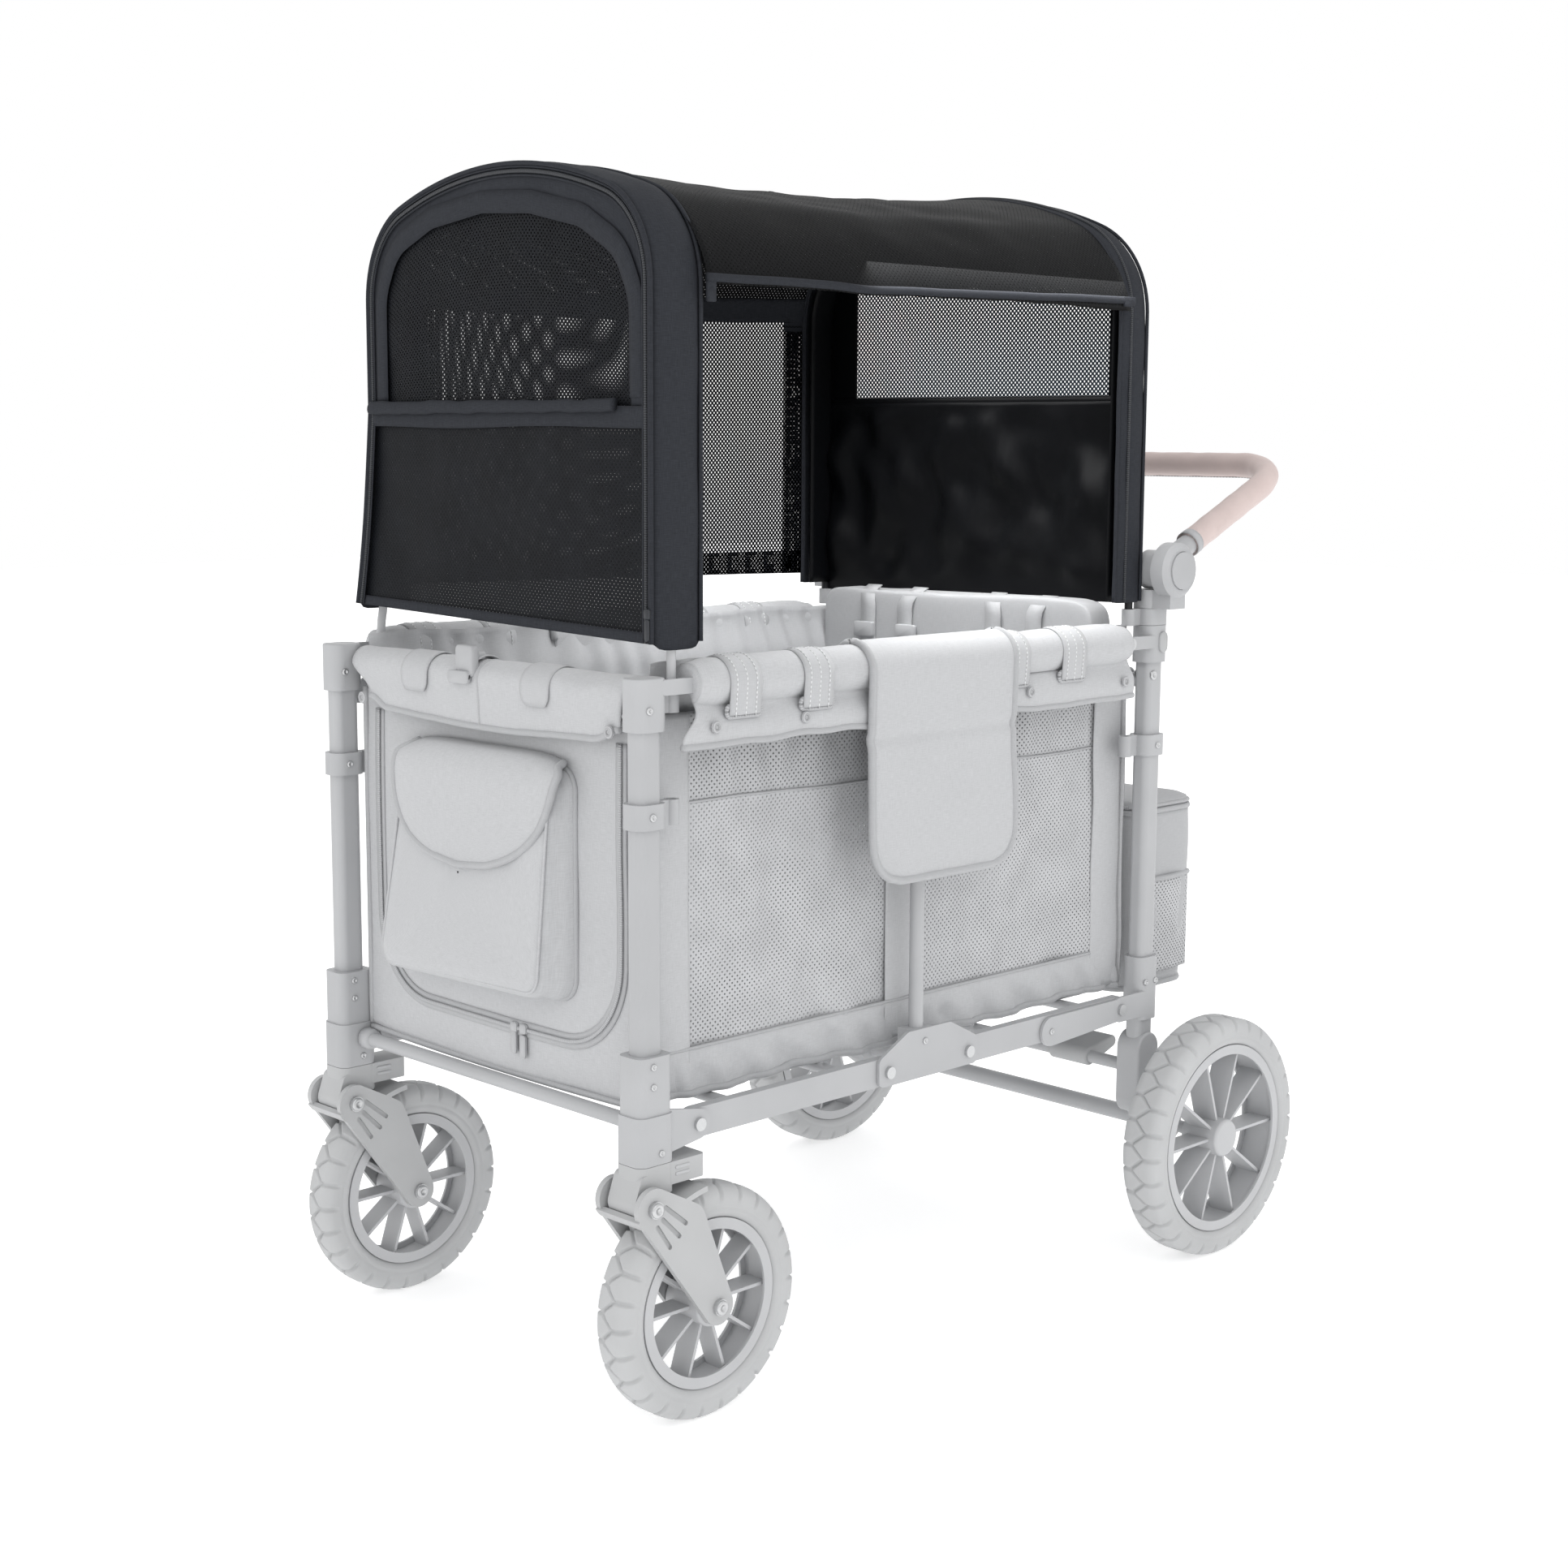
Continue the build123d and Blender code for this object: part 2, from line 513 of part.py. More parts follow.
# Casters
def front_caster(name, side):
    """Swivel housing, sprung fork, bolts and rubber bumper of one caster; side is +1 right, -1 left."""
    place = Pos(side * POST_X, 0, 0)
    block = Pos(0, -POST_Y) * RectangleRounded(CASTING_WIDTH, CASTING_DEPTH, CASTING_CORNER)
    housing = level_extrude(block, CASTER_BOTTOM_Z, CASTER_TOP_Z)
    box_y = -POST_Y + CASTING_DEPTH / 2 + CASTER_BOX_DEPTH / 2
    box = Pos(0, box_y - CASTING_CORNER / 2) * RectangleRounded(
        CASTING_WIDTH, CASTER_BOX_DEPTH + CASTING_CORNER, CASTER_BOX_CORNER)
    housing += level_extrude(box, CASTER_BOX_Z, CASTER_TOP_Z)
    half = CASTING_WIDTH / 2
    nose = hull((FORK_Y, FORK_PIVOT_Z, FORK_NOSE_R), (FORK_Y, CASTER_TOP_Z - FORK_NOSE_R, FORK_NOSE_R / 2))
    housing += side_extrude(nose, -half, half)
    housing += rod_z(STEM_R, CASTER_TOP_Z, STEM_TOP_Z, 0, -POST_Y)
    housing -= rod_x(FORK_PIVOT_R, -half, half, FORK_Y, FORK_PIVOT_Z)
    keep(f"caster_housing_{name}", place * housing)

    tip = ARM_OUT + PIN_HEAD
    pin = rod_x(FORK_PIVOT_R, -tip, tip, FORK_Y, FORK_PIVOT_Z)
    for x in (-tip, ARM_OUT + RUN):
        pin += rod_x(BOLT_HEAD_R, x, x + PIN_HEAD - RUN, FORK_Y, FORK_PIVOT_Z)
    keep(f"fork_pin_{name}", place * pin)

    arm = hull((FORK_Y, FORK_PIVOT_Z, FORK_EYE_R), (FORK_Y + CROWN_Y, CROWN_Z, CROWN_R),
               (FRONT_AXLE_Y, FRONT_WHEEL_R, FORK_ARM_WIDTH / 2))
    arm -= Pos(FORK_Y, FORK_PIVOT_Z) * Circle(FORK_PIVOT_R + RUN)
    arm -= Pos(FRONT_AXLE_Y, FRONT_WHEEL_R) * Circle(FRONT_AXLE_R)
    fork = side_extrude(arm, ARM_IN, ARM_OUT) + side_extrude(arm, -ARM_OUT, -ARM_IN)
    inner = FRONT_WHEEL_R + FORK_CLEAR
    fender = Pos(FRONT_AXLE_Y, FRONT_WHEEL_R) * sector(inner, FENDER_THICK, FENDER_FROM, FENDER_TO)
    lip = Pos(FORK_Y, FORK_PIVOT_Z) * sector(FORK_NOSE_R + LIP_GAP, LIP_THICK, LIP_FROM, LIP_TO)
    fork += side_extrude(fender, -ARM_OUT, ARM_OUT) + side_extrude(lip, -ARM_OUT, ARM_OUT)
    for (y0, drop0), (y1, drop1) in RIB_SLOTS:
        slot = hull((FORK_Y + y0, FORK_PIVOT_Z - drop0, RIB_SLOT_R), (FORK_Y + y1, FORK_PIVOT_Z - drop1, RIB_SLOT_R))
        fork -= side_extrude(slot, ARM_OUT - RIB_SLOT_DEPTH, ARM_OUT)
        fork -= side_extrude(slot, -ARM_OUT, RIB_SLOT_DEPTH - ARM_OUT)
    keep(f"caster_fork_{name}", place * fork)

    bolt = rod_x(FRONT_AXLE_R, -tip, tip, FRONT_AXLE_Y, FRONT_WHEEL_R)
    for x in (-tip, ARM_OUT):
        bolt += rod_x(BOLT_HEAD_R, x, x + PIN_HEAD, FRONT_AXLE_Y, FRONT_WHEEL_R)
    keep(f"front_axle_{name}", place * bolt)

    bumper_y = -POST_Y + BUMPER_BACK
    crown = inner + FENDER_THICK
    bumper_low = FRONT_WHEEL_R + (crown ** 2 - (FRONT_AXLE_Y - bumper_y - BUMPER_R) ** 2) ** 0.5
    bumper = rod_z(BUMPER_R, bumper_low + BUMPER_LIFT, CASTER_BOTTOM_Z, 0, bumper_y)
    keep(f"suspension_bumper_{name}", place * bumper)


# Wheels
def wheel(prefix, name, x, y, radius, rim_r, width, hub_half, bore, outer):
    """A spoked rim and its tyre, turned about X; outer is the side that carries the hub cap, or 0."""
    place = Pos(x, y, radius)
    depth = radius - rim_r
    section = Pos(0, rim_r + depth / 2) * RectangleRounded(width, depth, depth * TYRE_ROUND)
    tyre = revolve(section, Axis.X)
    groove = Box(width, TREAD_GROOVE, 2 * TREAD_DEPTH)
    step = 360 / TREAD_BLOCKS
    cuts = [Rot((i + 0.5) * step, 0, 0) * Pos(0, 0, radius) * groove for i in range(TREAD_BLOCKS)]
    keep(f"{prefix}_tyre_{name}", place * (tyre - cuts))

    rim_half = width / 2 - RIM_INSET
    barrel = Pos(0, rim_r - RIM_WALL / 2) * Rectangle(2 * rim_half, RIM_WALL)
    rim = revolve(barrel, Axis.X)
    for x in (-rim_half, rim_half - RIM_LIP_THICK):
        rim += rod_x(rim_r - RIM_WALL / 2, x, x + RIM_LIP_THICK, 0, 0) - rod_x(
            rim_r - RIM_LIP, x, x + RIM_LIP_THICK, 0, 0)
    hub = rod_x(HUB_R, -hub_half, hub_half, 0, 0)
    rim += fillet(hub.edges().filter_by(GeomType.CIRCLE), HUB_ROUND)
    span = rim_r - RIM_WALL / 2 - HUB_R + SPOKE_ROOT
    spoke = Box(2 * rim_half * SPOKE_DEPTH, SPOKE_THICK, span)
    middle = HUB_R - SPOKE_ROOT + span / 2
    for i in range(SPOKES):
        rim += Rot((i + 0.5) * 360 / SPOKES, 0, 0) * Pos(0, 0, middle) * spoke
    if outer:
        start, stop = sorted((-outer * hub_half, outer * (width / 2 - HUB_CAP + GAP)))
        rim -= rod_x(bore, start, stop, 0, 0)
    else:
        rim -= rod_x(bore, -hub_half, hub_half, 0, 0)
    keep(f"{prefix}_rim_{name}", place * rim)


def wheels():
    """Two caster wheels and two rear wheels."""
    front_hub = ARM_IN - GAP
    leg_face = POST_X + LEG_WIDTH / 2
    rear_hub = REAR_WHEEL_X - leg_face - GAP
    for name, side in (("right", 1), ("left", -1)):
        wheel("front", name, side * POST_X, FRONT_AXLE_Y, FRONT_WHEEL_R, FRONT_RIM_R, FRONT_TYRE_WIDTH,
              front_hub, FRONT_AXLE_R + RUN, 0)
        wheel("rear", name, side * REAR_WHEEL_X, REAR_AXLE_Y, REAR_WHEEL_R, REAR_RIM_R, REAR_TYRE_WIDTH,
              min(rear_hub, REAR_TYRE_WIDTH / 2), REAR_AXLE_R + RUN, side)


# Brake and handle
def brake():
    """Foot pedal on the brake tube."""
    sleeve_r = BRAKE_TUBE_R + RUN
    half = PEDAL_LENGTH / 2
    profile = hull((POST_Y, BRAKE_TUBE_Z, sleeve_r + PEDAL_WALL),
                   (POST_Y + PEDAL_REACH, BRAKE_TUBE_Z + PEDAL_RISE, PEDAL_THICK / 2))
    pedal = side_extrude(profile, PEDAL_X - half, PEDAL_X + half)
    pedal = fillet(pedal.edges().filter_by(GeomType.LINE, reverse=True), PEDAL_EDGE)
    keep("brake_pedal", pedal - rod_x(sleeve_r, PEDAL_X - half, PEDAL_X + half, POST_Y, BRAKE_TUBE_Z))


def handle():
    """Hubs on the rear posts, tilting bar, leather grip and release buttons."""
    knuckle_r = HUB_DISC_R - KNUCKLE_STEP
    split_x = HANDLE_X + HANDLE_TUBE_R + KNUCKLE_WALL
    face_x = split_x + GAP + HUB_DISC_WIDTH
    disc = rod_x(HUB_DISC_R, split_x + GAP, face_x, POST_Y, HUB_Z)
    rim = disc.edges().filter_by(GeomType.CIRCLE).sort_by(Axis.X)[-1]
    disc = chamfer(rim, HUB_CHAMFER)
    cup_top = HUB_Z - knuckle_r - GAP
    cup_low = CLIP_TOP_Z + GAP
    cup = Pos(POST_X, POST_Y, 0) * level_extrude(post_outline(CAP_WALL), cup_low, cup_top)
    web_in, web_out = POST_X, face_x - HUB_CHAMFER
    web = Pos((web_in + web_out) / 2, POST_Y) * Rectangle(web_out - web_in, POST_DEPTH)
    hub = disc + cup + level_extrude(web, cup_low, cup_top)
    upper = Pos((split_x + GAP + web_out) / 2, POST_Y) * Rectangle(web_out - split_x - GAP, POST_DEPTH)
    hub += level_extrude(upper, cup_low, HUB_Z)
    hub -= Pos(POST_X, POST_Y, 0) * level_extrude(post_outline(), cup_low, HUB_Z - HUB_DISC_R + HUB_SEAT)
    hub += rod_x(HUB_PIN_R, HANDLE_X - HANDLE_TUBE_R, face_x - BUTTON_POCKET - HUB_FLOOR, POST_Y, HUB_Z)
    hub -= rod_x(BUTTON_R + GAP, face_x - BUTTON_POCKET, face_x, POST_Y, HUB_Z)
    keep("handle_hubs", *both_sides(hub))

    angle = radians(HANDLE_RISE_DEG)
    plane = Plane(origin=(0, POST_Y, HUB_Z), x_dir=(1, 0, 0), z_dir=(0, -sin(angle), cos(angle)))

    def loop(start):
        """Centre line of the bar from one side round to the other, start along each arm."""
        points = ((HANDLE_X, start), (HANDLE_X, HANDLE_REACH), (-HANDLE_X, HANDLE_REACH), (-HANDLE_X, start))
        return plane * FilletPolyline(*points, radius=HANDLE_CORNER_R)

    path = loop(HUB_PIN_R + KNUCKLE_WALL)
    section = Plane(origin=path @ 0, z_dir=path % 0)
    bar = sweep(section * (Circle(HANDLE_TUBE_R) - Circle(HANDLE_TUBE_R - HANDLE_WALL)), path=path)
    for side in (1, -1):
        inner, outer = sorted((side * (HANDLE_X - HANDLE_TUBE_R), side * split_x))
        bar += rod_x(knuckle_r, inner, outer, POST_Y, HUB_Z)
        bar -= rod_x(HUB_PIN_R + RUN, inner, outer, POST_Y, HUB_Z)
    keep("handle_bar", bar)

    grip_path = loop(GRIP_START)
    section = Plane(origin=grip_path @ 0, z_dir=grip_path % 0)
    grip = sweep(section * (Circle(GRIP_R) - Circle(HANDLE_TUBE_R)), path=grip_path)
    keep("handle_grip", grip)

    button = rod_x(BUTTON_R, face_x + BUTTON_PROUD - BUTTON_THICK, face_x + BUTTON_PROUD, POST_Y, HUB_Z)
    for name, solid in zip(("right", "left"), both_sides(button)):
        keep(f"handle_button_{name}", solid)


# Soft goods of the basket
def basket():
    """Cloth walls, rolls, flaps, seats and the storage bag, as plain closed solids."""
    front_y = -FRONT_PANEL_Y
    wall_z = (BASKET_BOTTOM_Z + WALL_TOP_Z) / 2
    wall = Pos(0, wall_z) * RectangleRounded(2 * PANEL_HALF_WIDTH, WALL_TOP_Z - BASKET_BOTTOM_Z, PANEL_CORNER)
    pocket_z = (POCKET_BOTTOM_Z + POCKET_TOP_Z) / 2
    pocket = Pos(POCKET_X, pocket_z) * RectangleRounded(
        2 * POCKET_HALF_WIDTH, POCKET_TOP_Z - POCKET_BOTTOM_Z, POCKET_CORNER)
    front = front_extrude(pocket, front_y - SIDE_THICK - POCKET_DEPTH, front_y - SIDE_THICK)
    front = fillet(front.faces().sort_by(Axis.Y)[0].edges(), POCKET_DEPTH * POCKET_ROUND)
    keep("front_panel", front + front_extrude(wall, front_y - SIDE_THICK, front_y))
    keep("rear_panel", front_extrude(wall, REAR_PANEL_Y - SIDE_THICK, REAR_PANEL_Y))

    half = REAR_PANEL_Y - SIDE_THICK - GAP
    side = Pos(0, wall_z) * RectangleRounded(2 * half, WALL_TOP_Z - BASKET_BOTTOM_Z, PANEL_CORNER)
    keep("side_panels", *both_sides(side_extrude(side, SIDE_X - SIDE_THICK, SIDE_X)))

    for name, end in (("rear", 1), ("front", -1)):
        y0, y1 = sorted((end * (CENTRE_PIVOT_Y + ROLL_END), end * (PIVOT_Y - ROLL_END)))
        roll = rod_y(ROLL_R, y0, y1, RAIL_X, TOP_RAIL_Z) - rod_y(ROLL_BORE, y0, y1, RAIL_X, TOP_RAIL_Z)
        keep(f"{name}_side_rolls", *both_sides(roll))
        back = CANOPY_REAR_Y - CLOTH - REAR_SEAT_CLEAR if end > 0 else FRONT_PANEL_Y - GAP
        seat_z = BOARD_TOP_Z + GAP
        top_z = seat_z + (REAR_BACKREST_HEIGHT if end > 0 else BACKREST_HEIGHT)
        seat = outline((back, seat_z), (back, top_z), (back - BACKREST_THICK, top_z),
                       (back - BACKREST_THICK, seat_z + SEAT_HEIGHT),
                       (back - SEAT_DEPTH, seat_z + SEAT_HEIGHT), (back - SEAT_DEPTH, seat_z))
        seat = fillet(seat.vertices(), SEAT_ROUND)
        bench = side_extrude(seat, -SEAT_HALF_WIDTH, SEAT_HALF_WIDTH)
        keep(f"{name}_seat", bench if end > 0 else mirror(bench, about=Plane.XZ))

    reach = POST_X - POST_WIDTH / 2 - CAP_WALL - ROLL_END
    roll = rod_x(ROLL_R, -reach, reach, -FRONT_BAR_Y, FRONT_BAR_Z) - rod_x(
        TOP_RAIL_R, -reach, reach, -FRONT_BAR_Y, FRONT_BAR_Z)
    keep("front_roll", roll)

    over = ROLL_R + FLAP_GAP
    shell = Circle(over + FLAP_THICK) - Circle(over)
    shell -= Pos(0, -over) * Rectangle(4 * over, 2 * over)
    drop = TOP_RAIL_Z - FLAP_BOTTOM_Z
    tail = TOP_RAIL_Z - WALL_TOP_Z - GAP
    shell += Pos(over + FLAP_THICK / 2, -drop / 2) * Rectangle(FLAP_THICK, drop)
    shell += Pos(-over - FLAP_THICK / 2, -tail / 2) * Rectangle(FLAP_THICK, tail)
    flap = front_extrude(Pos(RAIL_X, TOP_RAIL_Z) * shell, -FLAP_HALF_WIDTH, FLAP_HALF_WIDTH)
    keep("side_flaps", *both_sides(flap))

    bag_front = POST_Y + TOP_RAIL_R
    bag_mid = bag_front + BAG_DEPTH / 2
    plan = Pos(0, bag_mid) * RectangleRounded(2 * BAG_HALF_WIDTH, BAG_DEPTH, BAG_CORNER)
    hollow = Pos(0, bag_mid) * RectangleRounded(
        2 * (BAG_HALF_WIDTH - BAG_WALL), BAG_DEPTH - 2 * BAG_WALL, BAG_CORNER - BAG_WALL)
    bag = level_extrude(plan, BAG_BOTTOM_Z, BAG_TOP_Z)
    bag -= level_extrude(hollow, BAG_BOTTOM_Z + BAG_WALL, BAG_TOP_Z)
    for x in (-STRAP_X, STRAP_X):
        strap = Pos(x, bag_front + BAG_WALL / 2) * Rectangle(STRAP_WIDTH, BAG_WALL)
        bag += level_extrude(strap, BAG_TOP_Z - STRAP_WIDTH, REAR_BAR_Z + TOP_RAIL_R)
    keep("rear_bag", bag)
    lid_depth = BAG_DEPTH - BAG_WALL - GAP
    lid = Pos(0, bag_front + BAG_WALL + GAP + lid_depth / 2) * RectangleRounded(
        2 * BAG_HALF_WIDTH, lid_depth, BAG_CORNER)
    keep("bag_lid", level_extrude(lid, BAG_TOP_Z + GAP, BAG_TOP_Z + GAP + LID_THICK))


# Canopy
def arch_line(inset, apex_z, left_z, right_z):
    """Edges of an arch drawn in from the cloth's outer face: upright sides, round shoulders, flat crown."""
    half_width = CANOPY_HALF_WIDTH - inset
    rise = apex_z - SHOULDER_Z - inset
    corner = (apex_z - SHOULDER_Z) * SHOULDER_SHARE - inset
    level = half_width - corner
    crown = (level ** 2 + rise ** 2 - corner ** 2) / (2 * (rise - corner))
    lean = atan2(level, crown - rise)
    tx = level + corner * sin(lean)
    tz = SHOULDER_Z + corner * cos(lean)
    mid = (pi / 2 - lean) / 2
    mx = level + corner * cos(mid)
    mz = SHOULDER_Z + corner * sin(mid)
    edges = [ThreePointArc((-half_width, SHOULDER_Z), (-mx, mz), (-tx, tz)),
             ThreePointArc((-tx, tz), (0, SHOULDER_Z + rise), (tx, tz)),
             ThreePointArc((tx, tz), (mx, mz), (half_width, SHOULDER_Z))]
    if left_z < SHOULDER_Z:
        edges.insert(0, Line((-half_width, left_z), (-half_width, SHOULDER_Z)))
    if right_z < SHOULDER_Z:
        edges.append(Line((half_width, SHOULDER_Z), (half_width, right_z)))
    return edges


def arch_strip(apex_z, left_z, right_z):
    """Face between an arch and the same arch drawn in by the cloth."""
    outer = arch_line(0, apex_z, left_z, right_z)
    inner = arch_line(CLOTH, apex_z, left_z, right_z)
    half_width = CANOPY_HALF_WIDTH
    left = Line((-half_width, left_z), (-half_width + CLOTH, left_z))
    right = Line((half_width, right_z), (half_width - CLOTH, right_z))
    return make_face(Curve() + outer + inner + [left, right])


def arch_face(apex_z):
    """Whole face under an arch down to its hem."""
    hem = Line((-CANOPY_HALF_WIDTH, CANOPY_HEM_Z), (CANOPY_HALF_WIDTH, CANOPY_HEM_Z))
    return make_face(Curve() + arch_line(0, apex_z, CANOPY_HEM_Z, CANOPY_HEM_Z) + [hem])


def pole_arch(y, apex_z, foot_z):
    """A bent pole: two uprights joined over the top."""
    edges = arch_line(CANOPY_HALF_WIDTH - POLE_X, apex_z, foot_z, foot_z)
    plane = Plane(origin=(0, y, 0), x_dir=(1, 0, 0), z_dir=(0, -1, 0))
    path = plane * Wire(edges)
    section = Plane(origin=path @ 0, z_dir=path % 0)
    return sweep(section * Circle(POLE_R), path=path)


def canopy():
    """Two bent poles, two banded end panels and the roof that runs down the far side."""
    pole_y = POST_Y - POLE_INSET_Y
    front_foot = FRONT_CLIP_Z + CLIP_FLOOR
    rear_foot = COLLAR_TOP_Z + GAP + CLIP_FLOOR
    keep("front_canopy_poles", pole_arch(-pole_y, FRONT_APEX_Z, front_foot))
    keep("rear_canopy_poles", pole_arch(pole_y, REAR_APEX_Z, rear_foot))
    for name, end, face, apex in (("front", -1, -CANOPY_FRONT_Y, FRONT_APEX_Z),
                                  ("rear", 1, CANOPY_REAR_Y, REAR_APEX_Z)):
        band_y0, band_y1 = sorted((face, face - end * BAND_DEPTH))
        skin_y0, skin_y1 = sorted((face, face - end * CLOTH))
        band = arch_strip(apex, CANOPY_HEM_Z, CANOPY_HEM_Z)
        panel = front_extrude(band, band_y0, band_y1) + front_extrude(arch_face(apex), skin_y0, skin_y1)
        keep(f"canopy_{name}_panel", panel)
    sections = []
    for y, apex in ((BAND_DEPTH - CANOPY_FRONT_Y, FRONT_APEX_Z), (0, FRONT_APEX_Z - ROOF_SAG),
                    (CANOPY_REAR_Y - BAND_DEPTH, REAR_APEX_Z)):
        strip = arch_strip(apex, FAR_HEM_Z, SHOULDER_Z)
        sections.append(Plane(origin=(0, y, 0), x_dir=(1, 0, 0), z_dir=(0, -1, 0)) * strip)
    keep("canopy_roof", loft(sections))


rear_frame()
front_frame()
fold_linkage()
front_caster("right", 1)
front_caster("left", -1)
wheels()
brake()
handle()
basket()
canopy()

for node, shape in NODES.items():
    export_step(shape, f"parts/{node}.step")
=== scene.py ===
"""Looks of a folding stroller wagon with a black mesh canopy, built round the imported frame."""
import logging
import math
from dataclasses import dataclass, field
from enum import Enum
from typing import Callable, Optional, Sequence

import bpy
import numpy as np
from mathutils import Matrix


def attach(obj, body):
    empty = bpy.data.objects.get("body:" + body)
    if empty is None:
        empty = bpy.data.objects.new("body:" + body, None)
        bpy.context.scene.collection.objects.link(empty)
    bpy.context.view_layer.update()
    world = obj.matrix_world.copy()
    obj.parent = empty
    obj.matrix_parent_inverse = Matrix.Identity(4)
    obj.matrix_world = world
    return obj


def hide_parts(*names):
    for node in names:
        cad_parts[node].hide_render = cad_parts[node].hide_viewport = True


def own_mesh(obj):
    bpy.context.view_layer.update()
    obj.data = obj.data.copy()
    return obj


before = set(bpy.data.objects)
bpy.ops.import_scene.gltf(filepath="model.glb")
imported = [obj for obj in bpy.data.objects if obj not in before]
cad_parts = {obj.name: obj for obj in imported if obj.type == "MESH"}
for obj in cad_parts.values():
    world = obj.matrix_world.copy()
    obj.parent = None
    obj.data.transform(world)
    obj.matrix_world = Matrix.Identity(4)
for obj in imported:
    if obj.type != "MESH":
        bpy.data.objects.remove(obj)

LOG = logging.getLogger("wagon")
Array = np.ndarray
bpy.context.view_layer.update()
SHIFT_Y = -120.019
MM = 0.001
X_AXIS, Y_AXIS, Z_AXIS = np.eye(3)
SIDES = (-1.0, 1.0)


class Weave(Enum):
    """How a finish is textured."""
    PAINT = "paint"
    MOULD = "mould"
    METAL = "metal"
    RUBBER = "rubber"
    CLOTH = "cloth"
    NET = "net"
    LEATHER = "leather"
    ZIP = "zip"


def linear(rgb: Sequence[float]) -> tuple:
    """Colour given as 0 to 255 display values, as linear light with alpha 1.

    Args:
        rgb: red, green and blue.

    Returns:
        Four numbers.
    """
    c = np.asarray(rgb, float) / 255.0
    lin = np.where(c <= 0.04045, c / 12.92, ((c + 0.055) / 1.055) ** 2.4)
    return tuple(float(v) for v in lin) + (1.0,)


class Nodes:
    """Short hand for wiring one material's node tree."""

    def __init__(self, name: str) -> None:
        """Starts a material with a principled shader.

        Args:
            name: the material's name.
        """
        self.material = bpy.data.materials.new(name)
        self.material.use_nodes = True
        self.tree = self.material.node_tree
        self.shader = self.tree.nodes["Principled BSDF"]
        self.output = self.tree.nodes["Material Output"]

    def add(self, kind: str, inputs: Optional[dict] = None, **settings: object) -> bpy.types.Node:
        """Adds a node.

        Args:
            kind: node type without its Shader prefix.
            inputs: socket name or number to a value or to another node's output socket.
            settings: attributes of the node.

        Returns:
            The node.
        """
        node = self.tree.nodes.new("ShaderNode" + kind)
        for key, value in settings.items():
            setattr(node, key, value)
        for key, value in (inputs or {}).items():
            self.set(node, key, value)
        return node

    def set(self, node: bpy.types.Node, key: object, value: object) -> None:
        """Puts a value or a link into one socket.

        Args:
            node: node with the socket.
            key: name or number of the socket.
            value: number, colour or other socket.
        """
        if isinstance(value, bpy.types.NodeSocket):
            self.tree.links.new(value, node.inputs[key])
        else:
            node.inputs[key].default_value = value

    def math(self, operation: str, a: object, b: object = 0.0) -> bpy.types.NodeSocket:
        """Result of one Math node.

        Args:
            operation: what it works out.
            a: first value.
            b: second value.

        Returns:
            The result.
        """
        return self.add("Math", {0: a, 1: b}, operation=operation).outputs[0]

    def ramp(self, factor: object, stops: Sequence[tuple]) -> bpy.types.NodeSocket:
        """Colour ramp.

        Args:
            factor: what picks the place on the ramp.
            stops: (position, colour) pairs.

        Returns:
            The colour.
        """
        node = self.add("ValToRGB", {0: factor})
        elements = node.color_ramp.elements
        while len(elements) < len(stops):
            elements.new(0.5)
        for element, (place, colour) in zip(elements, stops):
            element.position = place
            element.color = colour
        return node.outputs[0]

    def noise(self, vector: object, scale: float, detail: float = 3.0) -> bpy.types.NodeSocket:
        """Grey noise at a scale in cycles per unit.

        Args:
            vector: coordinates.
            scale: cycles per unit.
            detail: number of finer layers.

        Returns:
            The noise.
        """
        node = self.add("TexNoise", {"Vector": vector, "Scale": scale, "Detail": detail})
        return node.outputs[0]

    def stretch(self, vector: object, scale: Sequence[float], turn: float = 0.0) -> bpy.types.NodeSocket:
        """Coordinates scaled apart along each axis and turned about Z by degrees.

        Args:
            vector: coordinates.
            scale: scale of each axis.
            turn: degrees about Z.

        Returns:
            New coordinates.
        """
        node = self.add("Mapping", {"Vector": vector, "Scale": tuple(scale)})
        node.inputs["Rotation"].default_value = (0.0, 0.0, math.radians(turn))
        return node.outputs[0]

    def bump(self, height: object, distance: float, strength: float = 1.0) -> None:
        """Joins a height field to the shader's normal.

        Args:
            height: the field.
            distance: height of one unit, in metres.
            strength: share of it that shows.
        """
        node = self.add("Bump", {"Height": height, "Distance": distance, "Strength": strength})
        self.set(self.shader, "Normal", node.outputs[0])


